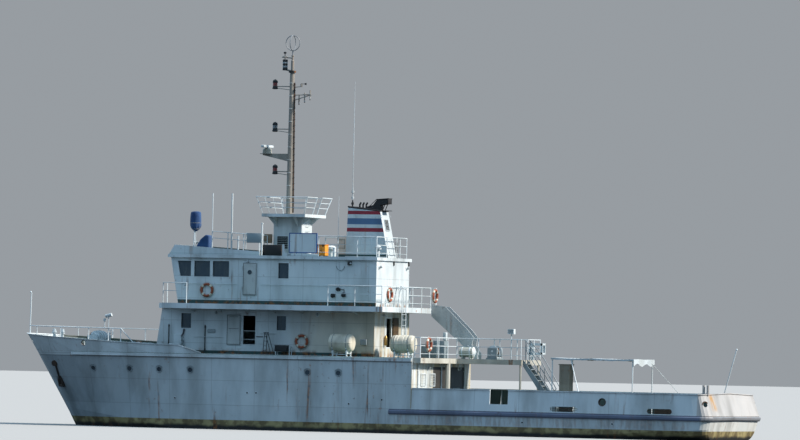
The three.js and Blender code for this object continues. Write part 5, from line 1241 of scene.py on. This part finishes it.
def wallSide(side):
    out = (0, side, 0)

    def low(x, by, z):  # a point that far off the lower house's wall
        return x, side * wall["lower"] + side * by, z

    def up(x, by, z):
        return x, side * wall["upper"] + side * by, z

    for tier, rails in ((up, "handrail"), (low, "lowerHandrail")):
        for x0, x1, z in wall[rails]:
            handrail(tier(x0, 0, z), tier(x1, 0, z), (0, side * 0.07, 0))
    for x, z0, z1 in wall["lowerRail"]:
        bar(low(x, 0.04, z0), low(x, 0.04, z1), 0.026, 8, 6)
        for z in (z0 + 0.1, z1 - 0.1):
            box(low(x, 0.02, z), (0.09, 0.04, 0.05), 0.006, 6)
    for x in wall["lowerLamps"]:
        bulkheadLamp(onWall(low(x, 0, 5.97), out))
    for x in wall["upperLamps"]:
        bulkheadLamp(onWall(up(x, 0, 8.60), out), 0.11)
    # a conduit under each deck edge, dropping to the lamps
    path([low(10.2, 0.02, 6.10), low(-0.8, 0.02, 6.10)], 0.016)
    path([up(9.6, 0.02, 8.71), up(-0.8, 0.02, 8.71)], 0.016)
    for x in wall["lowerLamps"]:
        path([low(x, 0.02, 6.10), low(x, 0.02, 5.98)], 0.011)
    # fire hose box with its valve and hose outlet, and a small ventilator
    face = onWall(low(9.78, 0, 4.55), out)
    box((0, 0.0, 0.09), (0.42, 0.52, 0.18), 0.015, 3, face)
    ring(rectangle(0.34, 0.44), 0.02, 0.008, face, 0.02, 3, 0.178)
    bend = [(0.30, -0.45, 0.05), (0.30, -0.12, 0.05), (0.30, -0.02, 0.13), (0.30, 0.02, 0.22)]
    path(bend, 0.035, 10, 2, face)
    torus(0.055, 0.009, face @ at(0.30, 0.10, 0.13) @ alongX, 18, 6, 2)
    face = onWall(low(7.95, 0, 5.02), out)
    plate(rectangle(0.44, 0.20), 0.05, face, 0.06, 2, 0, 0.01)
    blades(4, -0.06, 0.04, 0.055, (0.36, 0.012, 0.02), face, 0.002, 3)
    # a dark locker with a slatted lid on pale legs, forward of the ring buoy
    box((3.90, side * 2.80, 4.19), (0.66, 0.36, 0.30), 0.015, 6)
    for i in range(4):
        box((3.90, side * (2.67 + 0.09 * i), 4.355), (0.70, 0.07, 0.025), 0.005, 6)
    for x, z in ((3.42, 4.30), (4.18, 4.05)):
        for y in (2.66, 2.94):
            post(x, side * y, 3.86, z, 0.024)
    bar((3.42, side * 2.66, 4.28), (3.42, side * 2.94, 4.28), 0.02)
    # valves and junction boxes near the after end, with a pipe up the wall and a half-round hanger
    for x, z, size in ((1.31, 6.95, 0.25), (0.73, 6.99, 0.25), (1.03, 7.27, 0.22)):
        box(up(x, 0.06, z), (size * 0.8, 0.12, size * 0.7), 0.02, 6)
        torus(size * 0.42, 0.014, onWall(up(x, 0.14, z), out), 20, 8, 6)
        bar(up(x, 0.08, z), up(x, 0.16, z), 0.018, 8, 6)
    path([up(1.03, 0.03, 7.32), up(1.03, 0.03, 8.70)], 0.014)
    path([up(0.73, 0.03, 7.05), up(0.73, 0.03, 7.27), up(1.03, 0.03, 7.27)], 0.016, 6, 6)
    torus(0.22, 0.016, onWall(up(0.95, 0.025, 8.46), out), 28, 6, 2, pi, pi)
    box(up(0.43, 0.06, 8.62), (0.22, 0.12, 0.20), 0.01, 6)
    box(low(-0.48, 0.06, 4.60), (0.34, 0.12, 0.30), 0.015, 2)
    # a hose hung under the fore window, and the hook that holds the door back
    path([low(*point) for point in wall["hose"]], 0.045, 10, 7)
    bar(low(5.45, 0.03, 4.77), low(5.08, 0.03, 4.77), 0.020, 8, 6)


for side in both:
    wallSide(side)
for foot, head in ((4.72, 4.66), (4.28, 4.62)):  # a small folding step-ladder on the port side deck
    for y, splay in ((2.94, -0.03), (3.30, 0.03)):
        bar((foot, y + splay, 3.875), (head, y, 4.98), 0.017, 8, 6)
for i in range(4):
    x, z = 4.71 - 0.01 * i, 4.07 + 0.24 * i
    bar((x, 2.93, z), (x, 3.31, z), 0.013, 8, 6)
box((4.64, 3.12, 4.99), (0.14, 0.42, 0.03), 0.006, 6)
for z in (4.62, 5.06):  # storm bars across the port doorway, behind the leaf when it is shut
    bar((5.50, 2.405, z), (6.24, 2.405, z), 0.014)
for y, z in ((-1.9, 8.45), (1.95, 8.45), (-1.6, 6.0), (1.35, 6.0)):  # lamps and pipes on the after walls
    bulkheadLamp(onWall((wall["aft"], y, z), (-1, 0, 0)), 0.11)
for y in (-2.0, -1.9, -1.8):
    path([(-1.035, y, 3.87), (-1.035, y, 6.15)], 0.018)
handrail((wall["aft"], -2.0, 7.45), (wall["aft"], 0.6, 7.45), (-0.07, 0, 0))
box((-1.12, -1.30, 4.35), (0.20, 0.55, 0.55), 0.02, 2)
spun(extinguisher, (-1.12, 1.05, 4.45), 20, 4)
for y in (-2.15, -0.05):  # dark fittings under the roof's after edge
    box((-1.05, y, 8.66), (0.06, 0.09, 0.22), 0.008, 6)


def stay(outline, depth, x, y, z, side):
    # a plate on edge across the ship, whose outline starts at the wall on that side
    plate(outline, depth, at(x, y, z) @ about("Z", -side * pi / 2) @ upright)


for i in range(7):  # brackets under the bridge deck's overhang
    for side in both:
        line = [(0, 0), (1.30, 0), (1.30, -0.07), (0, -0.34)]
        stay(line, 0.014, 8.9 - i * 1.5, side * wall["lower"], 6.31, -side)
spun(horn, at(10.05, -0.85, 9.60) @ alongX, 24, 2)
post(10.02, -0.85, 9.35, 9.58, 0.02)
spun(bell, (11.07, 0, 6.02), 24, 4)
piece("wallFittings", "trim clearLens grey trim bronze wood black hose")

# Each rail's lowest bar, along lines at the height of the rail's foot.

lowBar = {
    "up": 0.215, "radius": 0.013,
    "lines": [(6.42, [(1.0, 3.85), (-1.95, 3.85), (-1.95, 1.47)]), (6.42, [(-1.95, 0.79), (-1.95, -3.03)]),
              (6.42, [(1.0, -3.85), (-1.95, -3.85)]),
              (8.94, [(2.15, 2.40), (-1.05, 2.40), (-1.05, -1.80), (-0.45, -2.40), (3.70, -2.40)]),
              (3.86, [(-7.69, -2.12), (-7.69, -4.045), (-3.90, -4.045)]),
              (3.86, [(-3.90, 4.05), (-4.18, 4.05), (-4.18, -1.15), (-7.69, -1.15)])],
}

for foot, line in lowBar["lines"]:
    for a, b in zip(line, line[1:]):
        bar((*a, foot + lowBar["up"]), (*b, foot + lowBar["up"]), lowBar["radius"])
piece("railLowBars", "rail")
print("wall fittings")

# Fore deck: bollards, hole rims, chains, windlass wheels, stays and vents.

foreDeck = {
    "z": levels["raisedDeck"], "bollards": [(14.0, 2.25, -0.28), (9.6, 3.35, -0.05)],
    "holes": [(14.59, 4.27, 0.14), (18.47, 4.37, 0.09)], "hawse": (16.55, 0.62), "link": 0.11, "wire": 0.016,
    "wheel": (14.98, 0.15), "stays": 16, "stayPitch": 0.56, "stayFirst": 9.6,
}
bolt = [(0, 0.03), (0.04, 0.03), (0.05, 0.0), (0, 0)]
vent = [(0, 0.45), (0.10, 0.44), (0.16, 0.38), (0.16, 0.30), (0.09, 0.30), (0.09, 0), (0, 0)]


def bollards(x, y, z, along=0.0, r=0.11, tall=0.48, apart=0.42):
    where = at(x, y, z) @ about("Z", along)
    box((0, 0, 0.02), (apart + 0.46, 0.34, 0.04), 0.01, 0, where)
    line = [(0, tall), (r * 0.9, tall), (r + 0.03, tall - 0.03), (r + 0.03, tall - 0.07), (r, tall - 0.10),
            (r, 0.06), (r + 0.03, 0.03), (0, 0.03)]
    for way in both:
        spun(line, where @ at(way * apart / 2, 0, 0))
    bar((-apart / 2, 0, tall * 0.45), (apart / 2, 0, tall * 0.45), 0.035, 10, 0, where)


def chain(points, paint):
    # links along a line, every second one turned on its side
    link, wire = foreDeck["link"], foreDeck["wire"]
    points = [Vector(p) for p in points]
    lengths = [0.0]
    for a, b in zip(points, points[1:]):
        lengths.append(lengths[-1] + (b - a).length)
    count = int(lengths[-1] / (link * 0.8))
    for i in range(count + 1):
        along = lengths[-1] * i / count
        k = max(j for j in range(len(points) - 1) if lengths[j] <= along + 1e-9)
        here = points[k].lerp(points[k + 1], (along - lengths[k]) / (lengths[k + 1] - lengths[k]))
        turn = (points[k + 1] - points[k]).to_track_quat("X", "Z").to_matrix().to_4x4()
        where = Matrix.Translation(here) @ turn @ about("X", pi / 2 * (i % 2))
        where = where @ Matrix.Diagonal((1, 0.62, 1, 1))
        torus(link / 2 - wire * 0.5, wire, where, 12, 6, paint)


z = foreDeck["z"]
for x, y, along in foreDeck["bollards"]:
    for side in both:
        bollards(x, side * y, z, side * along)
for x, holeZ, r in foreDeck["holes"]:  # rims round the bulwark's mooring holes, in the dark rusty finish, partly rust and partly painted shade for the holes
    for side in both:
        hit, point, normal = ray("bow_bulwark", (x + r + 0.03, side * 6, holeZ), (0, -side, 0))
        where = onWall((x, point.y - side * 0.03, holeZ), normal)
        for deep in (0, -0.05):
            torus(r + 0.012, 0.026, where @ at(0, 0, deep), 28, 10, 1)
for side in both:  # hawse pipes on deck with the chains up to the windlass
    x, y = foreDeck["hawse"]
    torus(0.16, 0.035, (x, side * y, z + 0.03), 28, 10)
    spun([(0, 0.035), (0.14, 0.035), (0.14, 0), (0, 0)], (x, side * y, z), 24, 2)
    chain([(16.5, side * 0.60, z + 0.06), (16.2, side * 0.52, z + 0.10), (15.62, side * 0.33, z + 0.92)], 1)
    box((16.05, side * 0.49, z + 0.06), (0.32, 0.22, 0.12), 0.015, 1)
for x in (17.58, 17.12):  # lips and clips of the two mushroom heads
    torus(0.125, 0.012, (x, 0.6, 4.815))
    post(x, 0.6, 4.965, 5.005, 0.018)
torus(0.10, 0.010, at(15.3, 0.66, z + 0.92) @ alongX, 24, 6)  # windlass brake wheels
x, r = foreDeck["wheel"]
for side in both:
    where = at(x, side * 0.72, z + 0.95) @ alongY
    torus(r, 0.012, where)
    for i in range(4):
        a = i * pi / 2
        bar((0, 0, 0), (r * cos(a), r * sin(a), 0), 0.009, 6, 0, where)
    bar((x, side * 0.56, z + 0.95), (x, side * 0.74, z + 0.95), 0.02)
    post(x, side * 0.58, z + 0.78, z + 0.97, 0.025)
box((15.3, 0.0, z + 0.05), (1.5, 1.5, 0.02), 0.004)
for i in range(foreDeck["stays"]):  # stays inside the bow bulwark
    x = foreDeck["stayFirst"] + i * foreDeck["stayPitch"]
    tall = min(0.78, 0.30 + 0.04 * (x - 9.6))
    for side in both:
        hit, point, normal = ray("bow_bulwark", (x, 0, z + 0.2), (0, side, 0))
        if hit:
            line = [(0, 0.002), (0.28, 0.002), (0.05, tall), (0, tall)]
            stay(line, 0.014, x, point.y + side * 0.004, z, side)
for y in (1.5, -1.5):  # small vents and deck plates
    spun(vent, (11.6, y, z))
for x, y in ((13.9, 0.9), (13.9, -0.9), (12.0, 0.0)):
    spun([(0, 0.018), (0.19, 0.018), (0.20, 0.012), (0.20, 0), (0, 0)], (x, y, z), 28, 2)
spun([(0, 0.05), (0.03, 0.045), (0.045, 0.0), (0.03, -0.03), (0, -0.03)], (19.238, 0, 6.872), 16)
piece("foreDeckGear", "trim rusty steel")
lidTop = 4.3403
for y in (-0.3, 0.3):
    spun(bolt, (13.30, y, lidTop), 16)
    path([(13.12, y, 4.342), (13.13, y, 4.38), (13.24, y, 4.38), (13.25, y, 4.342)], 0.009)
ring(rectangle(0.84, 0.86), 0.03, 0.012, (12.90, 0, lidTop), 0.05)
for x in (12.78, 13.02):
    box((x, 0, 4.345), (0.04, 0.78, 0.014), 0.003)
piece("hatchLidFittings", "trim", "fore_hatch_lid")
print("fore deck")

# After deck: freeing ports, leads, stays, bollards, hatch, deck box, capstan and ring bolts.

afterDeck = {
    "z": levels["afterDeck"], "ports": [(-11.27, -12.72), (-16.42, -17.75)], "portZ": (1.30, 1.56),
    "lead": (-14.04, 1.83, 0.17), "quarter": (-19.44, 3.86, 1.82, 0.13),
    "stays": [-4.6, -5.6, -6.6, -7.6, -9.6, -10.7, -13.1, -14.7, -15.7, -18.2],
    "sternStays": (-2.4, -1.0, 1.0, 2.4),
    "bollards": [(-18.0, 2.7), (-18.0, -2.7), (-15.2, 3.55), (-15.2, -3.55), (-10.1, -3.55)],
    "bolts": [(-9.9, 2.6), (-12.7, 2.7), (-12.7, -2.7), (-14.9, 2.4), (-14.9, -2.4), (-9.9, -2.8)],
}
capstan = [(0, 0.70), (0.10, 0.70), (0.20, 0.67), (0.21, 0.60), (0.145, 0.50), (0.130, 0.34), (0.16, 0.20),
           (0.26, 0.14), (0.30, 0.0), (0, 0)]

z = afterDeck["z"]
low, high = afterDeck["portZ"]
for side in both:
    for fore, aft in afterDeck["ports"]:
        middle = (fore + aft) / 2
        hit, point, normal = ray("aft_bulwark", (middle, side * 7, 1.75), (0, -side, 0))
        where = onWall((middle, point.y - side * 0.002, (low + high) / 2), (0, side, 0))
        ring(rectangle(fore - aft + 0.07, high - low + 0.07), 0.036, 0.022, where, 0.15)
        for h in (-0.045, 0.045):
            bar((-(fore - aft) / 2, h, -0.03), ((fore - aft) / 2, h, -0.03), 0.012, 6, 2, where)
        for s in (-0.45, 0.45):
            box((s, 0, -0.03), (0.03, high - low, 0.02), 0.003, 2, where)
    x, leadZ, r = afterDeck["lead"]
    hit, point, normal = ray("aft_bulwark", (x, side * 7, leadZ + r + 0.05), (0, -side, 0))
    where = onWall((x, point.y - side * 0.01, leadZ), normal)
    for deep in (0, -0.075):
        torus(r + 0.016, 0.032, where @ at(0, 0, deep), 36, 10, 2)
    x, y, leadZ, r = afterDeck["quarter"]
    aim = Vector((0.83, -side * 0.55, 0)).normalized()
    hit, point, normal = ray("aft_bulwark", Vector((x, side * y, leadZ + r + 0.06)) - 2 * aim, aim)
    where = onWall((point.x, point.y, leadZ), -aim)
    torus(r + 0.016, 0.032, where @ Matrix.Diagonal((1.12, 1, 1, 1)), 36, 10, 2)
    for x in afterDeck["stays"]:
        for bulwark in ("aft_bulwark", "gate_bulwark"):
            hit, point, normal = ray(bulwark, (x, 0, z + 0.6), (0, side, 0))
            if hit:
                line = [(0, 0.002), (0.36, 0.002), (0.06, 1.03), (0, 1.03)]
                stay(line, 0.016, x, point.y + side * 0.02, z, side)
                break
for y in afterDeck["sternStays"]:
    hit, point, normal = ray("aft_bulwark", (-17, y, z + 0.6), (-1, 0, 0))
    lean = ray("aft_bulwark", (-17, y, z + 1.0), (-1, 0, 0))[1].x - point.x
    outline = [(-lean * 0.6 / 0.4, 0.002), (0.36, 0.002), (0.06 + lean, 1.03), (lean, 1.03)]
    plate(outline, 0.016, at(point.x - 0.02, y, z) @ upright)
for x, y in afterDeck["bollards"]:
    bollards(x, y, z, 0, 0.12, 0.52, 0.46)
# the hatch's base in the dark rusty finish as painted shade, so the freeing port in front of it reads dark
box((-16.4, 0, z + 0.17), (1.5, 1.5, 0.34), 0.02, 2)
box((-16.4, 0, z + 0.37), (1.62, 1.62, 0.07), 0.02)
for x in (-17.0, -16.4, -15.8):
    for y in (-0.80, 0.80):
        box((x, y, z + 0.36), (0.06, 0.10, 0.10), 0.01, 1)
box((-5.1, 2.9, z + 0.32), (1.3, 0.62, 0.62), 0.02, 1)
box((-5.1, 2.9, z + 0.65), (1.36, 0.68, 0.06), 0.02, 1)
spun(capstan, (-17.75, 0, z), 32, 1)
for x, y in afterDeck["bolts"]:
    spun([(0, 0.02), (0.09, 0.018), (0.10, 0), (0, 0)], (x, y, z), 20)
    torus(0.055, 0.010, at(x, y, z + 0.06) @ alongX, 20, 6)
bar((-14.72, -0.90, 3.96), (-15.24, -3.93, 2.36), 0.014, 6)  # the stay from the awning to the bulwark
spun([(0, 0.05), (0.035, 0.045), (0.05, 0.0), (0.035, -0.03), (0, -0.03)], (-19.70, 0, 4.60), 16)
piece("afterDeckGear", "trim grey rusty")

# The after trunk's louvres.

trunk = {"x": -10.95, "y": 1.0, "half": 0.275, "louvreZ": 3.05, "panelZ": 1.95, "lidZ": 3.652}
x, y, half = trunk["x"], trunk["y"], trunk["half"]
for outX, outY in ((0, 1), (0, -1), (-1, 0), (1, 0)):
    spot, out = (x + half * outX, y + half * outY), (outX, outY, 0)
    where = onWall((*spot, trunk["louvreZ"]), out)
    ring(rectangle(0.42, 0.72), 0.03, 0.018, where, 0.02)
    blades(8, -0.29, 0.083, 0.008, (0.36, 0.014, 0.02), where)
    ring(rectangle(0.44, 1.05), 0.02, 0.008, onWall((*spot, trunk["panelZ"]), out), 0.03)
plate(rectangle(0.64, 0.64), 0.05, (x, y, trunk["lidZ"]), 0.04, 0, 0, 0.01)
ring(rectangle(0.63, 0.63), 0.05, 0.06, (x, y, z), 0.04)
piece("trunkLouvres", "buff")
print("after deck")

# The working platform and the raised hull's after wall.

platform = {
    "z": levels["raisedDeck"], "frame": (-8.02, -7.26, 4.14, 4.74), "frameY": -3.76,
    "lamp": (-6.1, -3.95, 5.31), "tank": (-4.42, -2.0, 4.21), "wallX": -3.802,
    "pipes": (-3.2, -0.7, 0.1, 3.4), "turns": 26,
}
hoop = [(0.262, -0.03), (0.278, -0.03), (0.278, 0.03), (0.262, 0.03), (0.262, -0.03)]
tankEnd = [(0, 0.075), (0.10, 0.068), (0.18, 0.045), (0.245, 0.012), (0.268, -0.02), (0, -0.02)]

z = platform["z"]
# lockers, a light post and a small unit by the house, and the open frame at the platform's after end
box((-3.35, -0.95, z + 0.45), (0.62, 0.50, 0.90), 0.02, 1)
box((-2.55, -1.55, z + 0.35), (0.80, 0.50, 0.70), 0.02, 1)
box((-3.45, -0.2, z + 0.55), (0.05, 0.05, 1.10), 0.008)
box((-3.62, -0.9, z + 1.12), (0.16, 0.24, 0.42), 0.02)
post(-3.62, -0.9, z, z + 0.94, 0.03, 10)
aft, fore, low, high = platform["frame"]
y = platform["frameY"]
for frameY in (y - 0.05, y + 0.35):
    where = at((aft + fore) / 2, frameY, (low + high) / 2) @ upright
    ring(rectangle(fore - aft, high - low), 0.12, 0.06, where, 0.02)
for x in (aft + 0.06, fore - 0.06):
    for tieZ in (low + 0.06, high - 0.06):
        box((x, y + 0.12, tieZ), (0.10, 0.46, 0.10), 0.006)
for legY in (y - 0.05, y + 0.29):
    box((fore - 0.06, legY, (low + z) / 2), (0.06, 0.06, low - z + 0.02), 0.006)
x, y, lampZ = platform["lamp"]
for way in both:
    where = onWall((x, y + way * 0.12, lampZ), (0, way, 0))
    ring(rectangle(0.33, 0.25), 0.02, 0.014, where, 0.02)
    plate(rectangle(0.29, 0.21), 0.006, where, 0.01, 2)
x, y, tankZ = platform["tank"]  # bands round the tank, its ends and its manhole
for bandX in (-4.21, -4.63):
    spun(hoop, at(bandX, y, tankZ) @ alongX, 40)
for endX, way in ((-4.06, 1), (-4.78, -1)):
    spun(tankEnd, at(endX, y, tankZ) @ alongX @ Matrix.Diagonal((1, 1, way, 1)), 40)
spun([(0, 0.09), (0.07, 0.09), (0.075, 0.06), (0.05, 0.05), (0.05, 0), (0, 0)], (x, y, 4.46), 20, 1)
x = platform["wallX"]  # pipes, a fire box and vents on the raised hull's after wall
for y in platform["pipes"]:
    path([(x - 0.04, y, 1.26), (x - 0.04, y, 3.55)], 0.035, 10)
    for h in (1.6, 2.4, 3.2):
        box((x - 0.02, y, h), (0.06, 0.12, 0.05), 0.006)
for y in (1.3, 2.6):
    where = onWall((x, y, 2.75), (-1, 0, 0))
    ring(rectangle(0.72, 0.66), 0.04, 0.03, where, 0.04)
    blades(7, -0.25, 0.083, 0.014, (0.64, 0.016, 0.03), where)
box((x - 0.11, -1.9, 2.05), (0.20, 0.52, 0.62), 0.02, 1)
for y in (-2.4, 2.0):
    bulkheadLamp(onWall((x, y, 3.35), (-1, 0, 0)), 0.12)
for x in (-4.6, -5.4, -6.2, -7.0):  # beams under the platform
    box((x, -2.55, 3.69), (0.04, 2.76, 0.14), 0.004)
box((-5.7, -2.55, 3.665), (3.8, 0.05, 0.10), 0.004)
for y in (-1.18, -3.80):
    box((-7.66, y, 1.27), (0.26, 0.26, 0.03), 0.006)
box((-6.05, -2.27, z + 0.42), (0.36, 0.22, 0.36), 0.03, 1)  # the winch's gearbox and tie bars
bar((-6.05, -2.24, z + 0.42), (-6.05, -2.44, z + 0.42), 0.11, 20, 1)
for x in (-6.27, -5.83):
    bar((x, -2.10, z + 0.10), (x, -1.30, z + 0.10), 0.02)
piece("platformGear", "trim grey clearLens")
for i in range(platform["turns"]):  # the turns of wire on the drum
    torus(0.182, 0.0105, at(-6.05, -1.70 - 0.255 + i * 0.0204, 4.2803) @ alongY, 28, 6)
piece("winchWire", "rusty", "winch_drum")
print("platform")

# Hull: overboard pipes, anodes, sea gratings and bilge keels.

hullGear = {
    "pipes": [(9.3, 1.55), (5.2, 1.9), (4.7, 1.9), (-0.4, 1.45), (-2.2, 1.7), (-9.8, 0.72), (-14.6, 0.75)],
    "anodes": [(-13.0, -0.7), (-15.2, -0.35), (-10.0, -1.1), (-4.0, -1.6), (3.0, -1.6), (9.0, -1.3)],
    "gratings": [(-6.5, -1.55), (1.0, -1.75)],
    "keel": {"from": 5.5, "to": -8.5, "steps": 14, "deep": 0.22, "thick": 0.016},
}

keel = hullGear["keel"]
for side in both:
    for x, z in hullGear["pipes"]:
        where = onHull(x, z, side)
        torus(0.058, 0.014, where, 24)
        spun([(0, 0.004), (0.05, 0.004), (0.05, -0.03)], where, 20, 1)
    for x, z in hullGear["anodes"]:
        plate(rectangle(0.42, 0.12), 0.05, onHull(x, z, side), 0.05, 2, -0.005, 0.012)
    for x, z in hullGear["gratings"]:
        where = onHull(x, z, side)
        ring(rectangle(0.62, 0.42), 0.035, 0.02, where, 0.05, 3)
        for i in range(7):
            box((-0.24 + i * 0.08, 0, 0.008), (0.018, 0.36, 0.022), 0.003, 3, where)
    line = []
    out = Vector((0, side * 0.72, -0.69))
    for i in range(keel["steps"] + 1):
        x = keel["from"] + (keel["to"] - keel["from"]) * i / keel["steps"]
        ease = sin(pi * (0.04 + 0.92 * i / keel["steps"])) ** 0.35
        point = ray("hull", Vector((x, side * 1.0, -0.9)) + out * 6, -out)[1]
        line.append((point - out * 0.03, point + out * keel["deep"] * ease))
    for (a, b), (c, d) in zip(line, line[1:]):
        part = bmesh.new()
        part.faces.new([part.verts.new(p) for p in (a, b, d, c)])
        bmesh.ops.recalc_face_normals(part, faces=part.faces)
        extruded(part, (c - a).normalized().cross((b - a).normalized()) * keel["thick"])
        joined(part, None, 3)
piece("hullFittings", "trim black steel hull")
print("hull fittings")
